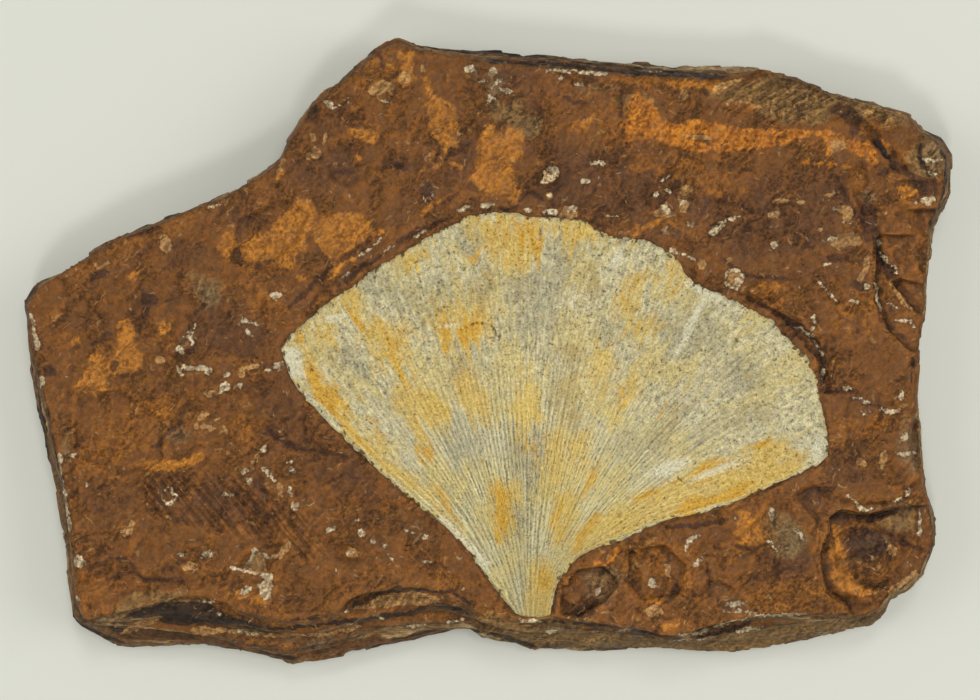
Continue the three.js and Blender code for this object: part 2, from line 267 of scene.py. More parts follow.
# The share that wear has left of each fresh depth or height listed below
FLAKE_LEFT, FURROW_LEFT, LUMP_LEFT, BLOCK_LEFT = 0.70, 0.65, 0.70, 0.60
# Steps where thin flakes have come off the split face: fresh depth in mm, then the outline
FLAKES = [
    (0.30, area((37.2, 6.8), (40, 5.7), (42.3, 4.6), (44, 3.2), (45.3, 1.6), (46.4, -0.6), (47.2, -5),
                (46.2, -5), (44.8, -1), (42, 3), (38.6, 5.2))),
    (0.35, area((-45, 3), (-41, 8), (-35, 9.4), (-30, 7), (-29, 3), (-33, 0), (-40, -1))),
    (0.30, area((-31, -3), (-27, -6), (-22, -11), (-20, -16), (-25, -19), (-31, -16), (-34, -9))),
    (0.30, area((6, 27), (12, 29.5), (18, 29.4), (27, 26.8), (36, 27), (44, 28), (45, 24), (43, 18),
                (35, 14), (28, 18), (20, 20), (9, 20.4))),
    (0.35, area((-47, -16), (-38, -15.5), (-30, -18), (-28, -24), (-36, -25.5), (-46, -23))),
    (0.25, area((-10, 24), (-3, 22), (-1, 27), (-3, 36), (-9, 38), (-12, 31))),
    (0.45, area((53.4, 18.5), (56, 20.4), (60, 20.2), (62, 17), (61, 10), (56.3, 10.2), (54.6, 12))),
    (0.40, area((48.6, -8.4), (53, -7.2), (58.6, -8.4), (60, -14), (55, -17), (49, -15))),
    (0.35, area((36, -22.2), (41.2, -21), (44.6, -24.6), (43.4, -30), (38.6, -31.6), (35.6, -27.4))),
    (0.55, area((47.2, -23.6), (50, -22.6), (53.6, -23), (55.6, -26), (54.6, -30), (51, -31.4),
                (48, -29.6), (46.9, -26.4))),
]
# Narrow furrows and cracks: fresh depth in mm, then the line
FURROWS = [
    (0.45, line(0.42, (-18.5, 10.4), (-15.5, 12.4), (-12, 14.6), (-9.5, 16), (-6.5, 17.4))),
    (0.40, line(0.35, (30.4, 9), (32.6, 8.2), (35.2, 6.8))),
    (0.40, line(0.35, (37.6, 5.4), (39.4, 3.9), (41.6, 1.9))),
    (0.45, line(0.40, (43.9, -1.2), (44.9, -4), (45.5, -6.4))),
    (0.90, line(0.75, (50.4, 31.2), (52.2, 29.6), (54, 27.4), (55.8, 25.2))),
    (0.45, line(0.45, (51, 20.4), (52.6, 17.6), (53, 15), (53.6, 12.6), (52.8, 10), (53, 6.4), (54.6, 3))),
    (0.55, line(0.50, (53.8, 12.4), (55, 10.2), (56.9, 7.8), (58.7, 5.3))),
    (0.50, line(0.40, (49.8, 21.9), (51.2, 17.7), (52.6, 14.9), (53.8, 12.4))),
    (0.45, line(0.35, (51.8, -23.1), (53.8, -24.2), (56.1, -25.5), (58.8, -26.8))),
    (0.45, line(0.35, (58.8, 28), (58.9, 26.4), (59.6, 24.6))),
    (0.30, line(0.28, (54.2, 10.2), (55.6, 7.6), (58, 5.4))),
    (0.30, line(0.30, (47, -4.8), (49, -5.6), (52, -6.6), (55, -7.2), (57.4, -8))),
    (0.30, line(0.30, (-28.4, -12.2), (-26, -13.3), (-23.8, -13.4), (-22.6, -12.6))),
    (0.35, line(0.40, (-55.4, -31.4), (-52, -29.6), (-49.4, -29.4), (-46.6, -30.6), (-43, -31.4),
                (-39, -31))),
    (0.30, line(0.35, (-54.4, -34.6), (-50, -33), (-46, -31.8), (-42, -31.9), (-38.6, -31.9))),
    (0.35, line(0.35, (41.5, -19.5), (44, -18.2), (47, -19.3), (50, -20.5), (54, -20.4), (58, -19.6))),
    (0.30, line(0.28, (48, 24.6), (49.4, 25.4), (51, 25.2), (51.6, 23.2), (50.8, 21.4))),
    (0.25, line(0.25, (36.4, 27.6), (33, 26.8), (29, 26.8), (26, 27.2), (23, 28.4), (20.6, 29.8))),
    (0.25, line(0.25, (-33.6, -26.4), (-31.8, -26), (-29.6, -26.4), (-27.4, -25.2))),
    (0.30, line(0.30, (-56.6, -2), (-57.2, -8), (-56.8, -14), (-56, -20))),
    (0.25, line(0.30, (19, -25.6), (22, -27.6), (22.6, -31), (21, -34))),
    (0.25, line(0.28, (12.6, -29.4), (16.4, -30.4), (17.6, -33), (16.4, -36))),
    (0.30, line(0.30, (-25, 28), (-22, 25.8), (-20.4, 22.8), (-17.4, 20.6))),
    (0.25, line(0.30, (31, 20.6), (36, 18.9), (41, 20.2), (45.6, 19))),
    (0.20, line(0.30, (46, 9), (47.6, 6.4), (50.4, 5.2))),
]
# Seeds, pebbly lumps and standing edges: fresh height in mm, then the place
LUMPS = [
    (0.55, spot(8.3, 23.5, 1.7, 1.0, 38)),
    (0.30, spot(8.3, 21.2, 0.6, 0.5)),
    (0.50, spot(-18.6, -27.1, 1.2, 0.8, -8)),
    (0.35, spot(50.3, 23.2, 1.9, 1.3, 62)),
    (0.35, spot(36.8, 8.4, 2.0, 1.0, 12)),
    (0.35, spot(28.8, 11.8, 0.9, 0.6, 60)),
    (0.25, spot(-48.0, 10.3, 0.9, 0.9)),
    (0.25, spot(-25.5, 10.0, 0.8, 0.8)),
    (0.25, spot(-18.0, 26.3, 0.8, 0.7)),
    (0.40, spot(-43.5, -2.0, 2.6, 0.9, -20)),
    (0.35, spot(-36.6, -5.4, 1.8, 1.0, 30)),
    (0.30, spot(-32.4, -2.6, 2.0, 0.9, 22)),
    (0.30, spot(24, 21, 1.2, 0.8, 30)),
    (0.30, spot(26.5, 20, 1.0, 0.9, 0)),
    (0.25, spot(39.4, 18.8, 1.0, 0.8, 10)),
    (0.35, spot(-40.5, -28.8, 1.1, 0.8, 20)),
    (0.30, spot(-49.4, -24, 1.3, 0.6, 30)),
    (0.35, line(0.5, (-56, -24), (-55.6, -27), (-55.2, -30))),
    (0.30, line(0.35, (-34.6, -29.4), (-32.2, -26.6))),
    (0.30, line(0.35, (-32.2, -26.8), (-29.8, -26.9), (-28.6, -26), (-27.2, -24.2))),
    (0.45, line(0.6, (-30.4, -33.4), (-29.6, -31.4), (-28.6, -29.8))),
    (0.35, line(0.5, (-31.6, -32.4), (-29.6, -31.8))),
    (0.30, line(0.35, (29.6, 16), (31.4, 17), (33.4, 18.3))),
    (0.30, line(0.40, (25, 13.6), (27, 12.9), (28.4, 11.4))),
    (0.45, line(0.6, (46.3, -24.2), (46.2, -27), (45.6, -30.4), (47, -32.2), (50, -33), (53.2, -33.2))),
]
# Where fine straight scratches run side by side
HATCHED = {
    "hatched_left": [area((-47.5, -17.6), (-40, -16.8), (-33, -17.6), (-28.6, -21), (-30.4, -25.6),
                          (-38, -24), (-46, -22.4)),
                     area((-30, -20), (-26, -21), (-22, -27), (-25, -29), (-29, -25))],
    "hatched_right": [area((29, 35.4), (33, 33), (38, 30.6), (44, 31.6), (51, 31.6), (56, 31.4),
                           (50, 34.4), (41.5, 37.4), (32, 37.6))],
    "hatched_scoop": [area((-20, -35), (-16, -33.4), (-11, -32.2), (-6, -32.8), (-8, -34.8), (-14, -35.6))],
}
# Ground that broke into small tilted blocks instead of splitting flat: fresh height and block
# size in mm, then where
BLOCKY = [
    (0.34, 3.4, area((9.5, -30), (14, -27.4), (22, -24.6), (31, -23), (36, -22), (38, -30), (36, -37),
                     (26, -39), (10, -38))),
    (0.42, 4.6, area((44, -18.6), (52, -19.6), (63, -18), (63, -35), (50, -36), (45, -31))),
    (0.32, 4.2, area((50, 22), (54, 26), (60, 31), (64, 26), (62, 4), (57, 1), (53, 6))),
    (0.20, 3.0, area((-37, 0), (-30, -1), (-28, -6), (-33, -9), (-45, -4), (-43, 1))),
    (0.18, 2.6, area((-43, -8), (-36, -7), (-33, -13), (-45, -14))),
    (0.16, 3.0, area((20, 17), (30, 16), (31, 24), (22, 25))),
    (0.18, 3.4, area((46, -3), (58, -4), (60, -18), (48, -18))),
    (0.20, 2.8, area((-58, -23), (-50, -24), (-40, -27), (-33, -30), (-36, -34), (-52, -36), (-58, -34))),
]

# Each relief below is a height in mm times a pattern, whose numbers are its size in mm, its
# seed and its octaves. x, y, z and face look into the points, so they follow as these move.
x, y, z = points.T
facing_up = ease(0.45, 0.8, normals[:, 2]) * ease(FACE_FROM, FACE_FULL, z)
facing_down = ease(0.5, 0.85, -normals[:, 2])
flank = (1 - facing_up) * (1 - facing_down)
face = points[:, :2]
wander_x = noise(face, 7, 11, 5)
wander_y = noise(face, 7, 12, 5)
warp_x = x + 0.5 * noise(face, 2.6, 13, 3)
warp_y = y + 0.5 * noise(face, 2.6, 14, 3)
far_x, far_y = x + 2.2 * wander_x, y + 2.2 * wander_y

# Chips with crisp edges over a slow swell. Some stretches stay smooth.
chipped = ease(-0.35, 0.35, noise(face, 13, 15, 2))
relief = 0.10 * noise(face, 9, 21, 2) + 0.05 * noise(face, 2.2, 22, 2)
relief += chipped * 0.05 * shards(far_x, far_y, 5.2, 27)
relief += (0.2 + 0.8 * chipped) * 0.06 * shards(far_x + 0.4 * warp_x, far_y, 2.1, 28)
relief += 0.07 * noise(face, 1.1, 23, 2) * (0.5 + chipped)
# Thin leaves of shale end in low steps, and a few creases run where it has begun to split.
leafing = 2.0 * noise(face, 16, 24, 4)
relief += 0.03 * (np.floor(leafing) + ease(0.3, 0.7, leafing % 1))
split = 1 - np.abs(noise(face, 6.5, 25, 4))
relief -= 0.05 * ease(0.90, 0.995, split) * ease(-0.1, 0.3, noise(face, 11, 26))
# The flakes, furrows, lumps and blocky ground that have their own places
for depth, shape in FLAKES:
    relief -= FLAKE_LEFT * depth * cover([shape], far_x, far_y, 0.6)
for depth, shape in FURROWS:
    relief -= FURROW_LEFT * depth * ease(0, 1, cover([shape], warp_x, warp_y, 0.7))
lump_x, lump_y = x + 0.7 * (warp_x - x), y + 0.7 * (warp_y - y)
for height, shape in LUMPS:
    relief += LUMP_LEFT * height * np.sqrt(cover([shape], lump_x, lump_y, 1.0))
block_x, block_y = x + 1.4 * wander_x, y + 1.4 * wander_y
for height, size, shape in BLOCKY:
    block = shards(block_x, block_y, size, int(size * 10))
    block += 0.4 * shards(block_x, block_y, size * 0.4, 5)
    relief += BLOCK_LEFT * height * cover([shape], far_x, far_y, 2.0) * block

# The broken sides: thin beds stand in and out, blocks have come away, and the rim stays put.
BED_STEPS = 2.4
bed_points = np.stack([(x + 0.3 * y) / 12, (y - 0.3 * x) / 12, z + 0.5 * wander_x], axis=1)
beds = noise(bed_points, 1.7, 41, 3) + 0.4 * noise(bed_points * [3, 3, 1], 5, 44, 2)
terraces = beds * BED_STEPS
terraces = (np.floor(terraces) + ease(0.35, 0.65, terraces % 1)) / BED_STEPS
broken = shards(x + 9 * normals[:, 1] + 0.6 * wander_y, z + 0.7 * wander_x, 2.6, 43)
standing = 0.55 * np.clip(terraces, -1, 1) + 0.20 * noise(points * [1, 1, 2], 4.0, 42, 3) + 0.16 * broken
below_rim = bedding_height(x, y) - z
standing *= ease(0.1, 1.3, below_rim) * ease(0, 1.6, z)
points += normals * np.array([1, 1, 0.15]) * (flank * standing)[:, None]
points[:, 2] += facing_up * relief
hollows = 0.22 * noise(face, 15, 51, 3) + 0.16 * noise(face, 5, 52, 2)
points[:, 2] += facing_down * np.maximum(hollows, 0)

# Rock under the leaf lies just below the bedding plane, and meets it along its margin.
LEAF_SEAT = 0.18
cad_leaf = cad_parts["ginkgo_leaf"].data
leaf_tree = BVHTree.FromPolygons([v.co for v in cad_leaf.vertices], [p.vertices for p in cad_leaf.polygons])
bedding = bedding_height(x, y)
under_leaf = np.zeros(len(x))
for i in np.flatnonzero((z > 9) & (z < bedding + 1)).tolist():
    place = Vector((x[i] * MM, y[i] * MM, 0))
    if leaf_tree.ray_cast(place, Vector((0, 0, 1)))[0] is not None:
        under_leaf[i] = 1
near_leaf = local_mean(x, y, under_leaf, 1.6)
beside = (under_leaf == 0) & (facing_up + flank > 0.2) & (z < bedding - 0.2) & (z > 12.5) & (near_leaf > 0.02)
points[beside, 2] = np.maximum(points[beside, 2], bedding[beside] - 0.10)
covered = under_leaf > 0
points[covered, 2] = np.where(near_leaf[covered] < 0.7, bedding[covered] - LEAF_SEAT,
                              np.minimum(points[covered, 2], bedding[covered] - LEAF_SEAT))
points = np.clip(points, slab_low, slab_high)
slab.data.vertices.foreach_set("co", (points * MM).ravel())
slab.data.update()

# What has stained the stone, what is stuck to it, and where shade and highlight are painted on it:
# how softly each kind fades out in mm, then its places. The first four are broad clouds of iron and
# clay. Gold and rust are fresh limonite, slate is bare grey shale, dusk and soot are dark stain and
# cracks and partly painted shade along step edges, rims and side walls, and buff and pale are crumbs
# of older leaves and seeds, pale with painted highlights and glints on some crests.
STAINS = {
    "aubergine": (3.0, [
        area((4, 20.6), (8, 27), (18, 28.6), (24, 26), (30, 22), (40, 24.6), (48, 24.4), (49, 20), (46, 15),
             (40, 12), (34, 13), (28, 15.6), (20, 17), (9, 18.8)),
        area((-41, -1), (-40.6, 4), (-38, 6.6), (-35, 7), (-31.6, 5), (-29, 4.6), (-29, 1), (-32, 0),
             (-36, -1)),
        area((36, 5.2), (40, 4.8), (43, 3), (45.2, 0), (45.6, -3.6), (44.6, -3.4), (43, -0.4), (39.6, 3)),
        *spots((-22, 24.4, 6, 2.4, 10), (-41, 13, 3.4, 1.6, 20), (-34, 18.6, 2.6, 1.4, 20),
               (-36, -20.6, 6, 2.2, -10), (-31, -8, 2, 1), (8, 38.6, 9, 0.9, -3), (4, 36.6, 4, 2),
               (44.6, -20, 3.4, 1.6, -10), (48, -15, 3, 1.8, 20), (-5, 27, 3, 4, 30), (41, -29, 4, 3),
               (15, 23.6, 6, 3), (51.6, -26.6, 3.4, 3)),
    ]),
    "umber": (2.2, [
        area((-47.6, -17.8), (-40, -17), (-32, -17.4), (-28.6, -20.6), (-29.6, -25), (-38, -24),
             (-47, -23)),
        area((-31.6, -4), (-28, -3), (-22, -10), (-15, -16.6), (-13, -21), (-20, -20), (-27, -14),
             (-31, -11)),
        area((1, 33), (6, 34), (9, 31), (9, 28), (5, 26), (2, 31)),
        area((-54, -38.6), (-46, -38.6), (-36, -39.8), (-24, -40.4), (-12, -39), (-2, -39.6), (-12, -40.6),
             (-24, -42.4), (-36, -41.6), (-48, -40)),
        *spots((-47, 5, 1.6, 3.4), (-54, 4, 4, 1.6), (-41, 8, 2.6, 1.4, 20), (14, -33.4, 1.6, 1.4),
               (-22, 31, 1.6, 4, -40), (-12, 25, 3.6, 1.4), (-10, 20, 4, 1.4, 35), (51.6, 17, 1.0, 4.4, 15),
               (44, 10, 6, 1, -5), (-52, -20, 3.6, 2.4, 20), (47, -1, 1.2, 4, 10),
               (-45.6, 14.4, 4, 1.2, 25), (51, -17, 4, 1), (-18, 11, 3.4, 1, 38),
               (20.4, 17.4, 3.4, 0.6, -10), (-27, -3.4, 3, 2, -40), (35, -18.6, 6, 0.8, 20),
               (52.4, -27, 3, 2.6), (57.4, -24, 2.4, 1.8)),
    ]),
    "olive": (1.8, [
        area((29.6, 35.8), (33, 33.6), (36, 31.6), (39, 30.8), (46, 31.8), (51, 31), (56.4, 30.6),
             (56.6, 32), (50, 34.4), (41.5, 37.4), (32, 37.4)),
        area((-54.6, -36.8), (-51.2, -34.9), (-47.5, -33.7), (-43.2, -32.8), (-38.6, -32.8), (-38.6, -33.6),
             (-43.2, -33.9), (-46.5, -34.9), (-49, -36.2), (-53.2, -37.4)),
        area((25.7, -39.2), (32, -38.2), (36, -37), (52, -36.1), (55, -36), (52, -39), (47, -40),
             (40, -41.4), (26, -42), (10, -42), (14, -39)),
        area((0, -35), (6, -36.2), (14, -36.6), (10, -41), (2, -39.6), (-2, -37)),
        *spots((2, 33, 2.6, 1.4), (5, 31, 2.4, 2), (59.6, 26.4, 2.6, 3), (40, -25, 3.4, 3),
               (-38.4, 9, 2.4, 1.6, -30), (56, -22.6, 3.4, 1.6), (20, 33, 3, 1.6)),
    ]),
    "ochre": (1.6, [
        area((-56, -16.8), (-54.8, -12), (-54.2, -9), (-50, -8), (-48, -7), (-45, -6.4), (-42, -7),
             (-43, -9), (-44.8, -10.6), (-45, -12.6), (-46.6, -14), (-50, -15), (-54, -16.6)),
        area((-36.6, -8.2), (-33, -8.6), (-30.6, -8), (-30.8, -10), (-32, -12.6), (-34, -12.8), (-36, -11)),
        area((-56, -30), (-50, -31), (-45.6, -31.8), (-49, -32.4), (-52.8, -33.4), (-55.6, -35.4)),
        area((13, 33), (18, 33.6), (18.4, 30), (16, 28), (13, 31)),
        area((20, 27.6), (26, 26.6), (33, 25), (36.6, 22.4), (33, 20.6), (28, 22), (20, 25)),
        area((54.4, 18.6), (56, 21), (58.4, 19.6), (57.6, 17)),
        area((32, -22), (38, -20.4), (38, -27), (33, -26.4)),
        *spots((-14, 39, 2, 1.6), (-16, 36, 2.6, 1.2), (24, -28.6, 5, 2.6), (40, -33.4, 6, 1.6, 2),
               (25, 18, 4, 1.4, -10), (50, 5, 4, 3, 30), (51, -9.6, 4, 1.4), (24, 37, 8, 0.8),
               (-41.5, 17.6, 3, 1.2, 25), (-49, 14.6, 4, 1.4, 25), (-35, 9, 2, 0.7),
               (-54.8, 11, 1.4, 1, 60), (-8, -31, 6, 1, -10), (38.6, 8.4, 3, 1, -20), (-57, 1.4, 1, 0.7),
               (-23, -38.6, 8, 0.5, 2), (-29, -41, 5, 0.7, -8), (-30, 6, 2, 3, 20)),
    ]),
    "gold": (0.9, [
        area((-24.4, 16.6), (-23, 18), (-20.6, 18.6), (-19.4, 19.4), (-17.4, 18.8), (-16.2, 17.6),
             (-15, 16.4), (-17, 14.8), (-19.4, 13.2), (-18, 12.8), (-19.6, 11.6), (-21, 9.8), (-21.6, 10.4),
             (-21, 12.2), (-22.6, 13.6), (-23.4, 15)),
        area((-33.6, 12.6), (-33.8, 14.4), (-32.4, 15.4), (-30, 16.4), (-27.6, 19.2), (-25.6, 20.8),
             (-24, 20.6), (-23.2, 18.6), (-24.8, 16.6), (-24.6, 14.6), (-26, 12.8), (-26.2, 11.4),
             (-27.8, 11.4), (-29, 12.4)),
        area((-1.8, 28), (0, 30.9), (2, 29.8), (4.2, 30.6), (4.9, 28.4), (4.4, 26.6), (3.2, 25.6),
             (3.4, 23.4), (4.4, 20.6), (3.4, 19.8), (2.6, 21.4), (0.6, 21.6), (-1.2, 22.4), (-2.7, 23.2),
             (-1.8, 24.4)),
        area((-9.1, 37.3), (-8.1, 37), (-7.6, 35.2), (-6.2, 34), (-4.4, 33.6), (-4, 31), (-4.4, 27.8),
             (-6, 27.2), (-6.8, 28.4), (-8, 30), (-8.4, 32.6), (-8, 34.8)),
        area((-12.6, 40.6), (-10, 40.8), (-10.4, 38.6), (-9.8, 37), (-11.4, 36), (-12.6, 37), (-12, 38.6)),
        area((-19, 30.4), (-16.6, 30), (-15, 30.6), (-14.8, 29), (-15.2, 27.7), (-17, 28.6), (-18.4, 28.8)),
        area((-50.4, 3.8), (-49.4, 4.6), (-48.4, 4), (-48, 0.6), (-47, 0), (-46.6, -1.8), (-48, -2.6),
             (-51.4, -3), (-52, -5.2), (-53.4, -4.8), (-56, -4.6), (-55.4, -3.4), (-54.2, -2.6),
             (-54.2, -0.4), (-52, -0.6), (-50, 0.6)),
        area((-50, -15.2), (-47, -14.6), (-44, -14.8), (-41, -14.4), (-38.8, -13.8), (-38.4, -14.6),
             (-39.6, -15.2), (-42, -15.8), (-44, -16.2), (-46.4, -15.8)),
        area((-36.9, 13.6), (-35.8, 16.2), (-34.3, 16), (-34.2, 14.2), (-35.4, 13)),
        area((-36, -32.8), (-33, -33.4), (-31.4, -34.4), (-29, -34), (-31, -33), (-34, -32.2)),
        area((33.2, -21), (35.6, -22), (37.8, -25.6), (36.6, -26.6), (34, -26)),
        area((21, -33.8), (22.2, -32.4), (23.4, -33), (23.2, -34.4)),
        area((24, 36.6), (26, 37), (29, 36.6), (31.6, 36.8), (30.4, 35.2), (28.8, 36), (25.6, 35.8)),
        area((46.6, -24.2), (47.6, -23.4), (48.6, -24.2), (48, -26), (48.8, -28.4), (49.6, -31.4),
             (52.8, -32.8), (51, -33.4), (48.4, -32.8), (46.4, -30.6), (47, -29), (46.4, -27)),
        *lines(0.24, [(-7.3, 27), (-7.7, 26), (-7.3, 24.9), (-6.8, 24.9)]),
        *lines(0.3, [(-9, 18.6), (-8, 19.6), (-6.8, 20.6)]),
        *lines(0.4, [(19.6, 15.8), (21, 16.8), (22.6, 17.6)]),
        *spots((-17.8, 26.4, 0.7, 0.4, -20), (-4.2, 25.2, 0.6, 0.25, -20), (-48, 10.3, 0.75, 0.75),
               (-25.5, 10, 0.6, 0.6), (-44.1, 3.2, 0.9, 0.8), (-56.3, 1.4, 0.8, 0.7),
               (38.6, 8.9, 1.6, 0.6, -10), (56.6, 21.8, 1.6, 0.8, -10), (18, -37.6, 1.3, 0.5),
               (24.6, -37, 1.4, 0.7, 10), (13, 31, 1.6, 0.8, 40)),
    ]),
    "rust": (0.9, [
        area((17.6, 30.9), (19.2, 31), (18.8, 34), (20, 35.2), (21.4, 34.6), (23.2, 33.4), (22.8, 32.4),
             (23.6, 31.4), (26.6, 30.6), (27.2, 31.6), (30, 31), (34, 30.4), (38, 30.1), (42, 30.1),
             (46.6, 30.1), (48, 29.4), (44, 29.5), (41.4, 28.6), (39.6, 28), (36, 27.6), (32, 27.2),
             (28, 27), (24.6, 28.2), (22, 29.2), (18.4, 28.4), (19.2, 29.8)),
        area((45.6, 29.4), (48, 29), (50.6, 28.6), (52.4, 27.4), (53, 25.8), (51.4, 25), (51.4, 26.6),
             (48.4, 27.4), (46, 26.6)),
        area((52.6, 28.8), (54.4, 28.4), (55, 26.8), (54, 27.2)),
        *lines(0.2, [(40, 28.9), (41.4, 28.6)]),
        *lines(0.24, [(43, 25.8), (46, 25.5), (49.6, 25.1)]),
        *lines(0.25, [(-20, 12.8), (-17.4, 14.4), (-14.4, 16.4)]),
        *lines(0.3, [(14.6, -28.6), (16, -28.9), (17, -27.6), (17.4, -26.8)]),
        *spots((14.6, -32.6, 0.6, 0.5), (-28.4, 24, 0.3, 0.8, -30), (-41.5, -28.9, 0.3, 0.3)),
    ]),
    "slate": (1.4, [
        area((12, 37.2), (14, 37), (15.6, 36.4), (14, 35.6), (12, 35.6)),
        area((12.6, -30), (15, -28.8), (18.6, -29.6), (18.2, -31.6), (16.4, -32), (17, -34.2), (14, -34.4),
             (13, -32)),
        *spots((17, 35.8, 1.4, 0.6, -20), (15, -31.4, 2.4, 1.8, -20), (40.6, -25.4, 2.2, 2, 10),
               (60.4, 26.4, 1.7, 2.4), (27.4, -25, 1.4, 0.8), (52, -26, 2.4, 2),
               (-24.6, -40.2, 2.6, 0.8, -8), (-38.2, 8, 1.2, 2, 30), (-10, -24.2, 2.4, 0.7, -10),
               (-42, -11, 2.4, 1.2), (9, -37.4, 2, 1), (-57.8, -13, 0.6, 5, 6), (57, -12, 1.4, 5),
               (34, -34.4, 2, 0.6, 4), (0.6, 36, 1.6, 2.2), (-2.4, 38.2, 1.2, 0.8),
               (51.4, 21.6, 1.6, 0.8, 20), (-45, -35, 4, 0.6, 10), (-41.5, 1.6, 1.2, 1.2, -60)),
    ]),
    # Dark stain and cracks, and painted shade along the foot of steps and the leaf's upper right margin
    "dusk": (0.9, [
        area((-54.4, 9.2), (-54, 10.6), (-53.2, 11.1), (-51.4, 11.1), (-51.8, 10.3), (-53, 9.8)),
        area((-47, 8.2), (-45.8, 8), (-44.8, 7.2), (-45, 6.4), (-46, 6.4), (-46.2, 4.8), (-47, 4.4),
             (-47.2, 6)),
        area((46.3, 32.6), (47.2, 33.8), (49.2, 33.6), (50.6, 31.8), (50.4, 30.2), (49.4, 28.8), (49, 30.6),
             (47.6, 31.8)),
        area((51.4, 30), (53, 28.4), (55, 26), (58, 24), (60.6, 23.6), (61, 21.4), (58.8, 21), (57.6, 22.6),
             (55.6, 24.4), (52.6, 24), (54.6, 25.4), (53.4, 27.4)),
        area((50.4, 19.8), (52.6, 19.6), (53, 15.6), (54, 12.6), (56, 10.4), (54.4, 9.6), (52.6, 12.4),
             (52, 16)),
        area((46.4, -23), (47.4, -21.8), (50, -22.4), (52, -22.2), (54.6, -21), (59, -20.4), (56, -21.6),
             (53, -23.2), (50.6, -22.9), (48, -23)),
        area((48.6, -25.4), (51, -23.8), (53.6, -24.6), (54.6, -27), (52, -28.6), (49.4, -27.8)),
        *lines(0.2, [(-42.6, 14.2), (-41.4, 15.2)], [(-51.8, -30.9), (-50, -30.2), (-48, -30), (-46, -31),
               (-44, -30.8), (-41.6, -31)], [(-24.6, -13.4), (-22, -13.4), (-19, -14.4)], [(-21.6, -17.6),
               (-19.6, -16.6), (-17.4, -17.1)], [(22, 27.6), (24.2, 26.8)], [(32, 12.4), (35, 10.2),
               (38, 10.2), (41, 9.8)], [(37.8, -26), (36, -26.8), (33.6, -26.4)], [(29.4, -28.6),
               (30.4, -31.4), (31.4, -34.6)]),
        *lines(0.25, [(-53.8, 1.1), (-52.6, 2), (-51.6, 2.6)], [(-54, -29.3), (-52, -28.6), (-50.6, -27.8),
               (-48.4, -28.8), (-46.6, -31)], [(20.8, 15.4), (24, 11), (26, 9.6)], [(-15.6, 41),
               (-14.6, 40), (-14.4, 38.6)], [(-19.4, 9.6), (-17, 11.6), (-14.6, 13)], [(10.6, 34.3),
               (12, 33.9), (13, 33.6)], [(18.2, 35.6), (18, 34), (18, 32)], [(14, 17.8), (15.4, 17.2),
               (15.4, 15.6)], [(52.4, 10), (52.6, 7), (53, 5), (54.4, 3.2), (56.4, 2)], [(49, -6.4),
               (51.6, -6.8), (53.6, -7.8)], [(43, -20), (44, -18.6), (46.4, -18.6)], [(54, -24.6),
               (56.4, -26), (59.4, -27)], [(24.4, -27.4), (24.2, -29), (25.6, -31.6), (24.6, -33.6)],
               [(35, -18.8), (38, -18.4), (41.6, -16.6)]),
        *lines(0.3, [(-49, 15.6), (-46, 16.5), (-44.6, 17)], [(-40.6, 3.2), (-40.1, 5), (-38.6, 6.4)],
               [(-45, -12.8), (-43.4, -10.8), (-41.6, -9.4)], [(-27, 6), (-22, 11), (-16, 15.4)],
               [(-12.4, 14.8), (-10.4, 16), (-8.4, 17.2), (-5.6, 18)], [(1.6, 19.6), (3, 19), (3.8, 20)],
               [(4.4, 20.8), (6, 21.8), (7, 20.6)], [(36.4, 6.4), (38.6, 5.8), (40, 4.6), (42.6, 3.4),
               (44.6, 1.2), (45.4, -1.4), (45.2, -5)], [(47.6, 23.6), (48, 22), (49, 20), (50.6, 18),
               (51.6, 15)], [(45.8, -5.2), (48, -5.4), (50, -5.2)], [(9.2, -31.6), (9, -33.4), (8.6, -35)],
               [(24, -23.6), (28, -23.6), (32, -22.8)]),
        *lines(0.35, [(-30, -10.4), (-28, -12), (-24.6, -13.4)]),
        *spots((-50.9, -1.8, 0.5, 0.6), (-59.6, -2.6, 0.8, 0.8), (-43.4, 6.9, 0.7, 0.2),
               (-43.2, -29.3, 0.4, 0.35), (-41.7, -28.4, 0.5, 0.5), (-31, -18, 1.2, 0.7, -50),
               (-25.6, -24, 1.6, 0.2, -50), (-23.8, 32.2, 0.8, 1.2, -30), (-20, 24.4, 1, 0.3),
               (-12.6, 25.2, 1.8, 0.5), (-8.4, 22, 1.2, 1, 40), (8.6, 18.4, 1, 0.4), (6.8, 33, 0.4, 1),
               (29.2, 28.9, 1.1, 0.3, -35), (23.2, 21, 0.5, 0.4), (29.4, 35.2, 0.6, 0.7),
               (47.6, 12.8, 1.4, 0.5), (50.6, 9, 1.2, 0.7), (13, -35, 1.4, 0.8), (19.3, -27, 0.4, 0.35)),
    ]),
    # Cracks, and painted shade along the rims, down the shaded side walls and in the hollow under the front
    # edge
    "soot": (0.9, [
        area((-50.5, -36.5), (-48, -35.2), (-45, -34.2), (-42, -34), (-38.2, -33.9), (-36.4, -35.4),
             (-33.4, -36.6), (-30, -37.6), (-30, -38.1), (-34.2, -37.2), (-39.8, -37.2), (-42.6, -37.7),
             (-44.6, -37.2), (-46.9, -36.4)),
        *lines(0.2, [(7, -36.6), (14.8, -37.2), (21.9, -38.5)], [(57.6, -1), (57.4, -4)]),
        *lines(0.25, [(-27, -36.4), (-23, -36)], [(-18.6, -34.6), (-16, -33.4), (-12.6, -32), (-9.1, -32.3),
               (-5, -32.6), (-2, -34.4)], [(-59.9, -8), (-59.4, -12), (-58.6, -16), (-58, -19)]),
        *lines(0.3, [(-30, -37.9), (-26, -37.5), (-22, -37), (-18, -36.7), (-12.6, -36), (-8.6, -35)],
               [(61.2, 28.4), (62.4, 26), (62.3, 23), (61.4, 19.6), (60.2, 17.4)], [(58.7, 28),
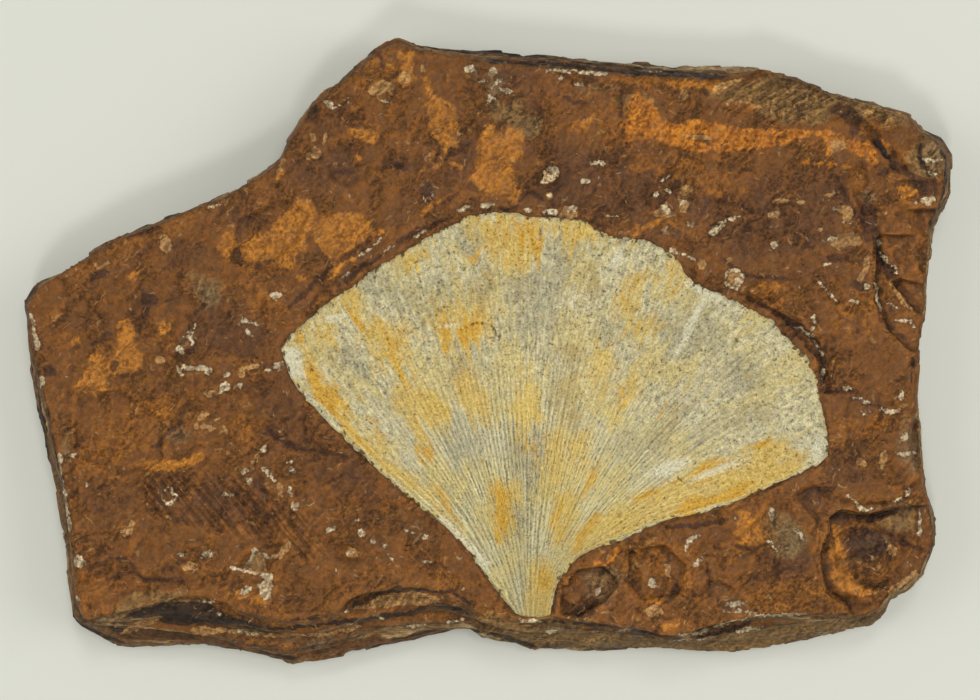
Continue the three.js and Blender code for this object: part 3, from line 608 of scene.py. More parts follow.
               (58.5, 26.4), (59, 25), (59.8, 24)], [(28, -39.3), (33, -38.1), (36, -36.9)]),
        *lines(0.35, [(-2, -38.7), (1, -39.2), (6.6, -41)], [(53, 28.4), (54.6, 26.2)]),
        *lines(0.4, [(0, 39.7), (8, 39.3), (16, 38.6), (24, 38), (32, 37.6)]),
        *spots((12, -35.6, 1.2, 0.5)),
    ]),
    "buff": (0.9, [
        area((-44.3, 16), (-43.4, 15.8), (-43.1, 14.2), (-43.8, 13.3), (-44.5, 14)),
        area((-34, -3), (-33.4, -2), (-32, -1.6), (-31, -1.6), (-31.6, -2.2), (-32.8, -2.8), (-33.2, -3.6)),
        area((-50.4, -24.2), (-49.2, -24), (-48.6, -22.8), (-48.1, -22.6), (-48, -23.8), (-48.6, -24.7),
             (-49.6, -25)),
        area((-41.4, -29.3), (-40.6, -28.3), (-39.8, -28.7), (-39, -29.5), (-41.2, -29.6)),
        area((-30, -27.8), (-28.8, -27.4), (-27.6, -26.2), (-26.9, -25.6), (-27, -26.6), (-28.2, -27.9)),
        area((-34.8, -29.4), (-33.4, -29.1), (-32.5, -28.8), (-31.6, -26.8), (-30.6, -27.6), (-30.5, -29),
             (-30, -30.2), (-31.4, -30.2), (-33.4, -29.7)),
        area((-24.2, 29.6), (-23.5, 29.8), (-23.4, 28.7), (-23.9, 28.5)),
        area((-24.6, 26), (-23.2, 26.2), (-22.7, 27.4), (-23.4, 28), (-24.6, 26.9)),
        area((7, 23), (7.4, 24.2), (8.6, 25.2), (9.6, 25), (9.4, 24), (8.4, 22.7)),
        area((9.4, 18.6), (10.6, 19.9), (12.3, 19.7), (11.8, 18.2), (10.6, 18)),
        area((22.2, 18.6), (23, 19.2), (24, 20.4), (24.8, 19.4), (25.6, 18.6), (24.6, 18), (23.2, 18.4)),
        area((25.8, 21), (26.4, 20.4), (27.2, 20.2), (26.6, 18.8), (25.9, 19.2)),
        area((46.4, 28.8), (48.2, 28.6), (49, 27.8), (46.6, 27)),
        area((46.9, 19.6), (48, 20), (49.4, 19.4), (49.6, 17.6), (48.4, 17.6), (48.2, 18.6)),
        area((46, 14.8), (47.6, 16), (49.8, 16.2), (50.8, 15), (49.6, 14.4), (47.4, 14)),
        area((55.2, 8.2), (56, 8.2), (56.6, 6.8), (57.8, 5.6), (56, 6.6)),
        area((-19, -35.2), (-14.2, -33.2), (-10.1, -32.6), (-8.1, -32.9), (-6.4, -34.1), (-8.1, -34.6),
             (-14.2, -34.8)),
        *lines(0.2, [(-53.6, 11.9), (-52.6, 11.4), (-51.6, 12.2)], [(-9.6, 15.9), (-8, 16.5)], [(26, -38.7),
               (28.9, -38.4), (32, -37.4), (35.8, -36.2)]),
        *lines(0.24, [(-22.2, 29.4), (-22.4, 28.2)], [(-28.4, 24.6), (-27.6, 26.2)]),
        *lines(0.25, [(54.8, 9.6), (55.8, 8)], [(55.4, -8), (56.6, -7.2)]),
        *lines(0.3, [(51.4, 13), (51.2, 11.4), (50.4, 9.8)], [(50.4, 33.4), (52, 32.6)], [(-37.2, -38.2),
               (-30, -39), (-22, -38.8), (-18, -37.8)]),
        *lines(0.4, [(51, 33.8), (54, 33), (57, 32.2)], [(54.8, -33), (57, -31.4), (58.6, -30.2)]),
        *spots((-44.5, -1.1, 0.7, 0.5), (-45.6, -2.4, 0.5, 0.3), (-37.2, 19.8, 1.1, 0.3, 15),
               (-37.6, -5.6, 1, 0.45, -10), (-38.6, -8.7, 0.8, 0.3, 30), (-38, -10.2, 0.9, 0.3, -10),
               (-35.8, -10.4, 0.3, 0.8, 20), (-36.8, -9.2, 0.7, 0.25, 40), (-39.6, -10, 0.4, 0.4),
               (-31.6, -14.6, 0.7, 0.4, 50), (-28.3, -18.7, 0.45, 0.9, 10), (-14.6, 35.8, 1.8, 0.8, 10),
               (-11.4, 37.2, 0.8, 0.8), (-9, 38.4, 0.4, 0.6), (-4, 29.5, 0.6, 0.2), (8.4, 21.3, 0.55, 0.5),
               (26.8, 22, 0.9, 0.6, 20), (26.5, 34.9, 0.55, 0.8), (28.6, 29.1, 1.8, 0.3, -8),
               (38.9, 18.7, 0.9, 0.45, 10), (39.6, 20.4, 1.1, 0.35), (42.4, 20.4, 0.4, 0.4),
               (45, 16.6, 0.5, 0.25), (46.4, 21.4, 1, 0.3, 10), (32.4, 36.4, 2.4, 0.4, 20),
               (33.2, 9.8, 1.4, 1.3), (28.8, 11.8, 0.6, 0.8, -30), (-48, -37.6, 3.4, 0.6, 25),
               (-39, -38.4, 2, 0.6), (50.6, -14.9, 0.7, 0.5), (53.6, -14.6, 0.6, 1.2, -20),
               (55, -27, 0.7, 0.8), (24.4, -29.6, 0.5, 0.8), (16, -35.4, 0.6, 0.3),
               (-18.5, -27.1, 1, 0.65, -8), (-15.7, -25.5, 0.45, 0.45), (22.4, -35.2, 1.2, 0.7, -10)),
    ]),
    # Crumbs of older leaves and seeds, with painted highlights along some crests and painted glints as small
    # bright specks
    "pale": (0.9, [
        area((-41.4, -1.7), (-40.6, -1.9), (-38.6, -1.6), (-37.4, -2.4), (-37.9, -3.2), (-38.8, -2.6),
             (-41, -2.6)),
        area((-36.8, -5.9), (-36.2, -4.2), (-35.4, -4), (-34.8, -4.6), (-35.6, -5.4)),
        area((-42.9, 0.3), (-42, 0.9), (-41.4, 0.4), (-41.4, -0.2), (-42.4, -0.1)),
        area((-29.7, 7.8), (-28.6, 8.2), (-28, 7.8), (-29, 6.9)),
        area((-61, -3.4), (-60.2, -3.4), (-60.3, -4.4), (-60.8, -5)),
        area((-31.4, -31.7), (-30.2, -30.6), (-29.1, -29.8), (-29.3, -31.4), (-29.4, -33.4), (-30.4, -33.5),
             (-31, -32.6)),
        area((1.3, 35.6), (2.4, 35.7), (3.6, 35.3), (2.2, 35)),
        area((57.4, 20.2), (60.6, 21.3), (60.7, 20.3), (59.6, 20)),
        *lines(0.18, [(-42.2, -2), (-41.4, -3.4)], [(-32.8, 3), (-32.2, 2.1)], [(-27, -18.4),
               (-26.7, -19.4)], [(-17.6, 12.8), (-16, 14), (-14.6, 15.3)], [(-10.2, 15.6), (-8.2, 16.5)],
               [(-9, 21.2), (-8.4, 20.2)], [(23.4, 23.1), (24.6, 23.9)], [(53, 15.2), (53.4, 13.6),
               (54.2, 12.4), (55.6, 10.8)], [(52.6, 9.4), (52.8, 7.6), (53.4, 5.6)], [(54.2, 6.6),
               (55.4, 6.2)], [(55.4, 4.2), (57, 4.4), (58, 3.6)], [(44.8, 9.6), (46, 8.2), (47.4, 7)],
               [(44.2, 5.2), (44, 3.2)], [(45.4, -2.4), (45.2, -4)], [(49.4, -6.3), (51.6, -6.7)],
               [(41.6, -24), (42.8, -25.6)], [(38, -25.6), (39.2, -27)], [(32, -35.2), (36, -35.2)],
               [(-20.4, -29), (-20.4, -29.8)]),
        *lines(0.2, [(-41.4, 2), (-40.6, 2.2), (-40, 1)], [(-33.6, 3.9), (-33.2, 4.4), (-32.4, 4.2)],
               [(-30.5, -15.6), (-29.8, -16.6), (-29, -17.4)], [(-32.6, -28.8), (-32, -27.6),
               (-31.7, -26.8), (-30, -27.8)], [(-34.8, -29.4), (-33.4, -29.5), (-31.4, -30.1),
               (-30, -30.3)], [(0.4, 35.6), (0, 34), (0.8, 34.4)], [(8, 38.3), (12, 38.1), (16, 37.8)],
               [(23.4, 16.2), (24.4, 17)], [(29.9, 15.9), (30.6, 16.9), (32, 17.8), (33.9, 18.4)],
               [(30.2, 16), (31.8, 17)], [(24.6, 13.7), (26.6, 13.2), (28, 12.6)], [(45.4, 11.8),
               (46.6, 12)], [(41.6, 3.4), (43, 2.8), (44, 2.2)], [(44.3, 1.6), (45.4, -0.4)], [(58.8, 26.2),
               (60, 26), (61.4, 26)], [(59.8, 24.3), (61, 24.2)], [(47.6, -4.6), (49, -5)], [(55.6, -14),
               (58.4, -13.8)], [(48.6, -19.4), (50, -20.4), (51, -21.6), (52.6, -21.5)], [(58.9, -21.6),
               (59, -23.6), (58.8, -25)], [(26.6, -26.8), (27.4, -25.6)], [(-11.4, -24), (-10, -24.6),
               (-8.6, -25.2)]),
        *lines(0.25, [(26, -38.5), (28.9, -38.3), (32, -37.2), (36, -36), (43, -35.7)]),
        *lines(0.3, [(-62, 5), (-61.8, 3), (-61.3, 0.6)]),
        *lines(0.35, [(-58.2, -14), (-58.3, -17), (-57.6, -20), (-57, -24)]),
        loop(-43.4, -19.6, 0.95, 1.0),
        loop(8.3, 24, 1.5, 0.8, 48),
        loop(33.2, 9.9, 1.25, 1.2, 0, 0.2),
        *spots((-35.5, -3.1, 0.6, 0.25, 15), (-33.7, -4.6, 0.5, 0.3, 30), (-40.4, 2.8, 0.4, 0.25, 20),
               (-39.8, 3.6, 0.2, 0.5, 20), (-29.8, -2.4, 0.3, 0.2), (-28.6, -1.7, 0.8, 0.4, 15),
               (-31.6, 3.7, 0.6, 0.2, -30), (-37, 19.9, 0.7, 0.25, 15), (-55.6, -28.5, 0.9, 0.8),
               (-56.6, -14, 0.6, 0.3), (-30.4, -13.2, 0.5, 0.55), (-33, -16.2, 0.6, 0.35, 30),
               (-32.4, -17.3, 0.3, 0.5, -30), (-26.2, -20.8, 0.45, 0.6), (-27.2, -14.9, 0.6, 0.25, 20),
               (-26.6, -16.1, 0.5, 0.4), (-35.4, -19.3, 0.9, 0.2, 5), (-33, -32.4, 0.9, 0.5, 20),
               (-38, -27.5, 0.9, 0.4, 10), (-41.6, -27.4, 0.6, 0.25), (-54.4, -18, 0.2, 0.25),
               (-2.6, 38.4, 0.7, 0.6, 20), (0.6, 38.1, 0.5, 0.7), (1.2, 36.6, 0.8, 0.3, 30),
               (-1, 36.8, 0.6, 0.3), (-20.4, 33.4, 0.5, 0.2, 40), (-19.1, 33.9, 0.25, 0.5),
               (-21.6, 33.6, 0.9, 0.4, -40), (-14.2, 34, 0.4, 0.2), (-13.4, 14, 0.9, 0.2, 30),
               (-19.2, 10.6, 0.6, 0.2, 30), (-7.7, 21.3, 0.2, 0.5), (-0.2, 20, 0.9, 0.5, 10),
               (-3.4, 19.4, 0.9, 0.3, 20), (5.4, 19.2, 0.6, 0.4), (8.4, 18.9, 0.9, 0.35),
               (8.6, 24.1, 0.7, 0.35, 48), (8.4, 21.3, 0.35, 0.3), (11.2, 19.3, 0.7, 0.4, 20),
               (22.6, 38.5, 0.9, 0.2, 10), (9.8, 37.2, 0.3, 0.3), (12.4, 36.3, 0.5, 0.3),
               (24.2, 19.2, 0.9, 0.5, -20), (26.4, 20.2, 0.5, 0.3, 20), (22.8, 21.3, 0.5, 0.3),
               (24.3, 21.9, 0.4, 0.4), (27.6, 17.3, 0.5, 0.3, 10), (16.7, 18.4, 0.7, 0.15),
               (14.8, 25.6, 0.8, 0.35), (13.2, 23.2, 0.7, 0.5), (33.6, 9.6, 0.6, 0.4, 40),
               (46.6, 15.3, 0.9, 0.2, 10), (48.8, 17.6, 0.6, 0.2), (47.2, 19.4, 0.5, 0.2),
               (38.6, 18.9, 0.3, 0.3), (51.4, 9.1, 0.4, 0.4), (38.8, 14.6, 0.6, 0.5), (57.6, 6.2, 0.3, 0.2),
               (49.6, 6.9, 0.7, 0.2), (54.6, -8, 1.2, 0.3, -8), (56, -5.8, 0.4, 0.6),
               (51.2, -8.2, 0.8, 0.2), (56.6, -11.6, 0.6, 0.5), (55.6, -20.1, 0.9, 0.25, 20),
               (57, -19, 0.4, 0.5), (33.6, -22.6, 0.3, 0.5), (38.6, -22.4, 0.3, 1.2, 10),
               (22.2, -31.4, 0.6, 0.7), (27.8, -25.2, 1, 0.3, 20), (28.6, -28.4, 0.8, 0.2, 40),
               (14.9, -32.5, 0.5, 0.4), (33.5, -34.2, 1.2, 0.35, 8), (-21.3, -24.1, 0.7, 0.35, 20),
               (-17.2, -24.6, 0.7, 0.5, -20), (-18, -22.7, 0.35, 0.25), (-15.7, -25.6, 0.35, 0.35),
               (-14.1, -26.2, 0.4, 0.3), (-18.8, -27.1, 0.6, 0.35), (-13.4, -27.8, 0.5, 0.2, -40),
               (-8.6, -28.4, 0.5, 0.15), (-19.4, -35.2, 0.5, 0.2, 20), (-38.6, -33.9, 0.9, 0.2),
               (-10.1, -38, 1.4, 0.3, 8), (-4.4, -37, 1, 0.2, 10), (-14.6, -36.6, 0.5, 0.15),
               (14.6, -38.4, 0.5, 0.3, -20), (8.6, -38.4, 0.7, 0.4, 10), (18.6, -38, 1, 0.2, 10),
               (-33, -38.6, 1.6, 0.2, -5), (36, -38, 1.6, 0.2, 10), (-56, -33.6, 0.5, 0.3, -20),
               (-36.8, -35.8, 0.5, 0.2), (6, -36.6, 1.4, 0.25, -5), (28, -39.6, 3, 0.15, 3)),
    ]),
}

# Broad stains are blotchy. Small marks, whose edge fades over less than 1 mm, keep their place.
blot_x = x + 1.0 * wander_x + 0.45 * noise(face, 1.7, 61, 3)
blot_y = y + 1.0 * wander_y + 0.45 * noise(face, 1.7, 62, 3)
near_x = x + 0.28 * noise(face, 1.1, 63, 3)
near_y = y + 0.28 * noise(face, 1.1, 64, 3)
for name, (edge, shapes) in STAINS.items():
    fine = edge < 1
    where = (near_x, near_y) if fine else (blot_x, blot_y)
    amount = cover(shapes, *where, edge)
    if not fine:
        amount += 0.26 * noise(face, 3.6, 65 + len(name), 5) * (amount > 0)
    write_attribute(slab.data, name, np.clip(amount, 0, 1))
# The face's colours run down over the rim, and furthest down at the back
away_from_front = ease(-0.3, 0.3, normals[:, 1])
rim_low, rim_high = 1.6 + 3.4 * away_from_front, 0.5 + away_from_front
at_rim = 0.8 * ease(rim_low, rim_high, below_rim) * ease(FACE_FROM, FACE_FULL, z)
write_attribute(slab.data, "split_face", np.maximum(facing_up, at_rim))
write_attribute(slab.data, "underside", facing_down)
far_place = np.stack([far_x, far_y], axis=1)
write_attribute(slab.data, "warmth", 0.5 + 0.5 * noise(face, 13, 71, 4))
write_attribute(slab.data, "mottle", 0.5 + 0.5 * noise(far_place, 5, 72, 5))
write_attribute(slab.data, "dapple", 0.5 + 0.5 * noise(far_place, 3.4, 73, 5))
for name, shapes in HATCHED.items():
    write_attribute(slab.data, name, cover(shapes, warp_x, warp_y, 1.6))
# Painted shade in the hollows and painted highlight on the crests, told by the height against the
# ground around: how far that ground reaches in mm, and how strongly it counts
level = np.clip(points[:, 2] - bedding_height(x, y), -3, 1.2)
on_face = facing_up > 0.5
painted_shading = np.ones(len(x))
for reach, strength in ((0.8, 1.5), (1.6, 0.8), (4.0, 0.35)):
    around = local_mean(x[on_face], y[on_face], level[on_face], reach)
    painted_shading[on_face] += np.clip(strength * (level[on_face] - around), -0.22, 0.13)
# Painted shade where the side's beds stand in, painted highlight where they stand out
painted_shading += flank * np.clip(0.9 * standing, -0.55, 0.20)
# Painted shade in a band on the sides just under the rim
painted_shading *= 1 - 0.20 * flank * ease(0.15, 0.5, below_rim) * ease(1.6, 0.7, below_rim)
write_attribute(slab.data, "painted_shading", painted_shading)


def thin(piece, chosen, kept):
    """Keeps about the given share of the mesh among the chosen points, and all of it elsewhere."""
    group = piece.vertex_groups.new(name="thinned")
    group.add(np.flatnonzero(chosen).tolist(), 1.0, "REPLACE")
    corners = np.empty(len(piece.data.loops), dtype=np.int32)
    piece.data.loops.foreach_get("vertex_index", corners)
    share = chosen[corners].mean()
    finish_modifier(piece, "DECIMATE", ratio=1 - share * (1 - kept), vertex_group="thinned")
    piece.vertex_groups.clear()


# The underside, the ground under the leaf and the sides need less mesh than the split face.
thin(slab, (facing_down > 0.5) | (under_leaf > 0), KEPT_UNDERNEATH)
sides = np.empty(len(slab.data.vertices))
slab.data.attributes["split_face"].data.foreach_get("value", sides)
thin(slab, sides < 0.4, KEPT_ON_SIDES)
points = np.clip(read_points(slab.data) / MM, slab_low, slab_high)
slab.data.vertices.foreach_set("co", (points * MM).ravel())
select_only(slab)
bpy.ops.object.shade_smooth()


def linear(code):
    channels = [int(code[i:i + 2], 16) / 255 for i in (1, 3, 5)]
    return [c / 12.92 if c < 0.04045 else ((c + 0.055) / 1.055) ** 2.4 for c in channels] + [1]


def new_material(name):
    material = bpy.data.materials.new(name)
    material.use_nodes = True
    material.node_tree.nodes.clear()
    return material, material.node_tree


def put(tree, kind, inputs, out=0, **settings):
    """Adds a shader node, sets it up, links or fills its inputs, and gives back one output."""
    node = tree.nodes.new("ShaderNode" + kind)
    for name, value in settings.items():
        setattr(node, name, value)
    for socket, value in inputs.items():
        if isinstance(value, bpy.types.NodeSocket):
            tree.links.new(value, node.inputs[socket])
        else:
            node.inputs[socket].default_value = value
    return None if out is None else node.outputs[out]


# Siliceous shale, split along its bedding: silica makes it dense and faintly waxy, iron stains it
# from ochre to dark umber, and crumbs of older leaves leave pale flecks. The colours are layered
# from the broad clouds of iron stain down to specks of a few tenths of a millimetre.
shale, rock = new_material("split_siliceous_shale")
place = put(rock, "TexCoord", {}, "Object")
marks = {
    name: put(rock, "Attribute", {}, "Fac", attribute_name=name)
    for name in [*STAINS, *HATCHED, "split_face", "underside", "warmth", "mottle", "dapple", "painted_shading"]
}
# Noise by the size in mm of its largest grains; the coarser two run straight down the sides
grain = {
    size: put(rock, "TexNoise", {"Vector": place, "Scale": 1 / (size * MM), "Detail": detail,
                                 "Roughness": 0.6, "Distortion": swirl}, noise_dimensions=space)
    for size, detail, swirl, space in ((4, 4, 0.8, "2D"), (1.5, 4, 0.4, "2D"), (0.5, 2, 0, "3D"))
}
ragged = put(rock, "Math", {0: grain[4], 1: grain[1.5]}, operation="ADD")
ragged = put(rock, "MapRange", {0: ragged, 1: 0.7, 2: 1.3, 3: -0.30, 4: 0.30})

# Stain and fine scratches are drawn out along one slanting direction, bent a little on the way
swirl = put(rock, "TexNoise", {"Vector": place, "Scale": 1 / (3 * MM), "Detail": 3}, "Color",
            noise_dimensions="2D")
bent = put(rock, "VectorMath", {0: swirl, 1: (3.0 * MM, 3.0 * MM, 3.0 * MM), 2: place},
           operation="MULTIPLY_ADD")
smear = put(rock, "Mapping", {"Vector": bent, "Rotation": (0, 0, math.radians(48)),
                              "Scale": (4 * MM, 0.7 * MM, 4 * MM)}, vector_type="TEXTURE")
smear = put(rock, "TexNoise", {"Vector": smear, "Scale": 1, "Detail": 3, "Roughness": 0.6},
            noise_dimensions="2D")
torn = put(rock, "MapRange", {0: smear, 1: 0.35, 2: 0.65, 3: -0.22, 4: 0.22})
torn = put(rock, "Math", {0: ragged, 1: 0.8, 2: torn}, operation="MULTIPLY_ADD")
crisp = put(rock, "Math", {0: grain[1.5], 1: grain[0.5]}, operation="ADD")
crisp = put(rock, "MapRange", {0: crisp, 1: 0.8, 2: 1.2, 3: -0.40, 4: 0.40})
grit = put(rock, "Math", {0: smear, 1: 0.8, 2: grain[0.5]}, operation="MULTIPLY_ADD")
grit = put(rock, "MapRange", {0: grit, 1: 0.70, 2: 1.10})

# The sides show the beds edge on, as thin lines in tan, brown and near black.
bed_place = put(rock, "Mapping", {"Vector": place, "Scale": (0.1, 0.1, 1.0)})
beds = put(rock, "TexNoise", {"Vector": bed_place, "Scale": 1 / (1.6 * MM), "Detail": 5, "Roughness": 0.7,
                              "Distortion": 0.5})
bed_contrast = put(rock, "MapRange", {0: beds, 1: 0.36, 2: 0.64})
side = put(rock, "ValToRGB", {0: bed_contrast})
ramp = side.node.color_ramp.elements
for place_on_ramp, tone in ((0.25, "#40301f"), (0.42, "#755634"), (0.58, "#5c4429"), (0.80, "#94744a")):
    stop = ramp.new(place_on_ramp)
    stop.color = linear(tone)
ramp[0].color = linear("#1f1711")
ramp[-1].color = linear("#b89a6a")

# Layers of stain, some of them partly painted shade or highlight: the mask, its low and high end,
# what frays its edge and how much, the darkest and lightest tone, and the strength
BROAD_LAYERS = [
    ("warmth", 0.30, 0.75, ragged, 0.4, "#6d461a", "#86511f", 0.8),
    ("mottle", 0.50, 0.72, ragged, 0.7, "#5e3d1b", "#70471e", 0.75),
    ("dapple", 0.58, 0.78, ragged, 0.6, "#825120", "#955e21", 0.45),
]
LAYERS = [
    ("aubergine", 0.20, 0.90, ragged, 0.8, "#50321c", "#674222", 0.70),
    ("umber", 0.20, 0.85, ragged, 0.8, "#563517", "#6f451e", 0.70),
    ("olive", 0.30, 0.75, ragged, 0.7, "#6b502b", "#927040", 0.80),
    ("ochre", 0.20, 0.90, ragged, 0.7, "#7c4b19", "#9a611f", 0.70),
    ("gold", 0.30, 0.74, torn, 0.8, "#985e1f", "#c68029", 0.80),
    ("rust", 0.32, 0.70, torn, 0.7, "#a15b17", "#c67d26", 0.90),
    ("slate", 0.40, 0.90, torn, 1.0, "#5e4c32", "#877251", 0.45),
    # The next two are dark stain and cracks, and partly painted shade along step edges, rims and side walls
    ("dusk", 0.32, 0.60, torn, 0.6, "#3b2414", "#50311c", 0.85),
    ("soot", 0.42, 0.60, torn, 0.6, "#221811", "#38281c", 0.90),
    # Painted shadow: a dark rim round each buff crumb, then the crumb
    ("buff", 0.20, 0.42, crisp, 0.2, "#46301b", "#543a20", 0.30),
    ("buff", 0.42, 0.54, crisp, 0.2, "#956a38", "#bf9258", 0.80),
    # Painted shadow: a dark rim round each pale crumb, then the crumb with its painted highlights
    ("pale", 0.20, 0.40, crisp, 0.25, "#3c2817", "#4b3520", 0.35),
    ("pale", 0.42, 0.60, crisp, 0.3, "#967750", "#dccaa4", 0.88),
]


def layered(color, layers):
    for name, low, high, fraying, frayed, dark_tone, light_tone, strength in layers:
        edge = put(rock, "Math", {0: fraying, 1: frayed, 2: marks[name]}, operation="MULTIPLY_ADD")
        amount = put(rock, "MapRange", {0: edge, 1: low, 2: high, 4: strength})
        tone = put(rock, "Mix", {0: grit, 6: linear(dark_tone), 7: linear(light_tone)}, 2, data_type="RGBA")
        color = put(rock, "Mix", {0: amount, 6: color, 7: tone}, 2, data_type="RGBA")
    return color


color = put(rock, "Mix", {0: grain[1.5], 6: linear("#6d461a"), 7: linear("#86511f")}, 2, data_type="RGBA")
color = layered(color, BROAD_LAYERS)
color = put(rock, "Mix", {0: marks["split_face"], 6: side, 7: color}, 2, data_type="RGBA")
below = put(rock, "MapRange", {0: marks["mottle"], 1: 0.3, 2: 0.7})
below = put(rock, "Mix", {0: below, 6: linear("#553c22"), 7: linear("#7a5930")}, 2, data_type="RGBA")
color = put(rock, "Mix", {0: marks["underside"], 6: color, 7: below}, 2, data_type="RGBA")
color = layered(color, LAYERS)

# Scratches and a bedded look within the hatched areas: thin dark lines along one direction
hatch = 0
for name, bearing in (("hatched_left", -50), ("hatched_right", 29), ("hatched_scoop", 62)):
    strip = put(rock, "Mapping", {"Vector": place, "Rotation": (0, 0, math.radians(bearing)),
                                  "Scale": (7 * MM, 0.55 * MM, 7 * MM)}, vector_type="TEXTURE")
    strip = put(rock, "TexNoise", {"Vector": strip, "Scale": 1, "Detail": 2}, noise_dimensions="2D")
    strip = put(rock, "MapRange", {0: strip, 1: 0.40, 2: 0.60, 3: -1, 4: 1})
    hatch = put(rock, "Math", {0: strip, 1: marks[name], 2: hatch}, operation="MULTIPLY_ADD")

# Thin cracks: where a slow noise crosses its middle value, in some stretches only
crack = put(rock, "Math", {0: grain[4], 1: 0.5}, operation="SUBTRACT")
crack = put(rock, "Math", {0: crack}, operation="ABSOLUTE")
crack = put(rock, "MapRange", {0: crack, 1: 0.008, 2: 0.001, 4: 0.6})
cracked = put(rock, "MapRange", {0: grain[1.5], 1: 0.60, 2: 0.68})
crack = put(rock, "Math", {0: crack, 1: cracked}, operation="MULTIPLY")
color = put(rock, "Mix", {0: crack, 6: color, 7: linear("#2a1b10")}, 2, data_type="RGBA")

# Round crumbs, and chips that lie two ways: their bearing in degrees, length and width in mm.
# A few of each come out tan, a few dark, and a few as small bright specks of painted glint.
CRUMB_AND_GLINT_TONES = [
    # which random draw picks them, where picking starts and is surest, widest share, tone
    (1, 0.90, 1.0, 0.24, "#a9834c"),
    (1, 0.12, 0.0, 0.22, "#2f1f14"),
    # The last tone is painted glint
    (2, 0.95, 1.0, 0.15, "#b8a27c"),
]
for turn, long, wide in ((0, 1.1, 1.1), (48, 2.4, 0.6), (-30, 2.2, 0.55)):
    lie = put(rock, "Mapping", {"Vector": bent, "Rotation": (0, 0, math.radians(turn)),
                                "Scale": (long * MM, wide * MM, long * MM)}, vector_type="TEXTURE")
    speck_cells = put(rock, "TexVoronoi", {"Vector": lie, "Scale": 1}, "Distance", voronoi_dimensions="2D")
    for pick, starts_at, surest, widest, tone in CRUMB_AND_GLINT_TONES:
        draw = put(rock, "SeparateColor", {0: speck_cells.node.outputs["Color"]}, pick)
        speck_size = put(rock, "MapRange", {0: draw, 1: starts_at, 2: surest, 3: 0.0, 4: widest})
        speck = put(rock, "Math", {0: speck_size, 1: speck_cells}, operation="SUBTRACT")
        speck = put(rock, "MapRange", {0: speck, 1: -0.02, 2: 0.04, 4: 0.5})
        speck = put(rock, "Math", {0: speck, 1: marks["split_face"]}, operation="MULTIPLY")
        color = put(rock, "Mix", {0: speck, 6: color, 7: linear(tone)}, 2, data_type="RGBA")

# Painted shade darkens the hollows and painted highlight lightens the crests. Some stretches are gritty, and
# the gold ones are smooth.
gritty = put(rock, "MapRange", {0: marks["mottle"], 1: 0.44, 2: 0.60, 3: 0.4, 4: 1.0})
smooth = put(rock, "MapRange", {0: marks["gold"], 3: 1.0, 4: 0.6})
gritty = put(rock, "Math", {0: gritty, 1: smooth}, operation="MULTIPLY")
speckle = put(rock, "MapRange", {0: grit, 3: -0.42, 4: 0.42})
tone = put(rock, "Math", {0: speckle, 1: gritty, 2: 1.0}, operation="MULTIPLY_ADD")
hatch_tone = put(rock, "MapRange", {0: hatch, 1: -1, 2: 1, 3: 0.70, 4: 1.30})
for factor in (hatch_tone, marks["painted_shading"]):
    tone = put(rock, "Math", {0: tone, 1: factor}, operation="MULTIPLY")
tone = put(rock, "CombineColor", {0: tone, 1: tone, 2: tone})
color = put(rock, "Mix", {0: 1.0, 6: color, 7: tone}, 2, data_type="RGBA", blend_type="MULTIPLY")

# Silica makes some stretches a little waxy.
gloss = put(rock, "MapRange", {0: grain[1.5], 1: 0.38, 2: 0.62, 3: 0.42, 4: 0.66})

# The grain stands out by up to 0.3 mm, less where the stone is smooth. Its height is scaled
# about its own middle, so that smooth and gritty ground lie level.
GROUND_MIDDLE = 1.75
ground = put(rock, "Math", {0: grain[1.5], 1: 1.6, 2: grain[0.5]}, operation="MULTIPLY_ADD")
for part, amount in ((smear, 0.9), (hatch, 0.25), (crack, -0.6)):
    ground = put(rock, "Math", {0: part, 1: amount, 2: ground}, operation="MULTIPLY_ADD")
ground = put(rock, "Math", {0: ground, 1: GROUND_MIDDLE}, operation="SUBTRACT")
ground = put(rock, "Math", {0: ground, 1: gritty, 2: GROUND_MIDDLE}, operation="MULTIPLY_ADD")
wall = put(rock, "Math", {0: beds, 1: 4.0, 2: grain[0.5]}, operation="MULTIPLY_ADD")
height = put(rock, "Mix", {0: marks["split_face"], 2: wall, 3: ground})
bump = put(rock, "Bump", {"Height": height, "Strength": 1.0, "Distance": 0.30 * MM})
surface = put(rock, "BsdfPrincipled", {"Base Color": color, "Roughness": gloss, "Normal": bump, "IOR": 1.5,
                                       "Specular IOR Level": 0.25})
put(rock, "OutputMaterial", {"Surface": surface}, None)
slab.data.materials.clear()
slab.data.materials.append(shale)

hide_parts("rock_slab")
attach(slab, "root")

# ---------------------------------------------------------------------------------------------
# The leaf. One fan-shaped ginkgo blade, pressed flat and turned to a chalky film of pale clay
# with iron stain. It is bedded in the slab and stands out of it by a few tenths of a millimetre.
# Its fine veins fork in two again and again on the way out from the stalk end.
# ---------------------------------------------------------------------------------------------
LEAF_PROUD = 0.30
# How long the fan's edge is, and how far it lies from the stalk end
LEAF_MARGIN = 99
LEAF_LENGTH = 54
# What the film's underside keeps clear of the rock
LEAF_LIFT = 0.02
VEIN_COUNT = 150
VEIN_HEIGHT = 0.05
VEIN_HALF_WIDTH = 0.16
FLUTE_COUNT = 24
BLADE_ROWS = 150
# Points on each run of a smooth curve between two guide points
CURVE_STEPS = 24
# Each stretch of the blade, by the share of its length where it ends, has twice the columns
# of the one before.
BLADE_COLUMNS = ((0.28, 200), (0.58, 400), (1.0, 800))
# Where veins fork, as shares of the blade's length, from the margin inwards
FORKS = ((0.40, 0.68), (0.17, 0.32), (0.06, 0.14), (0.02, 0.05))

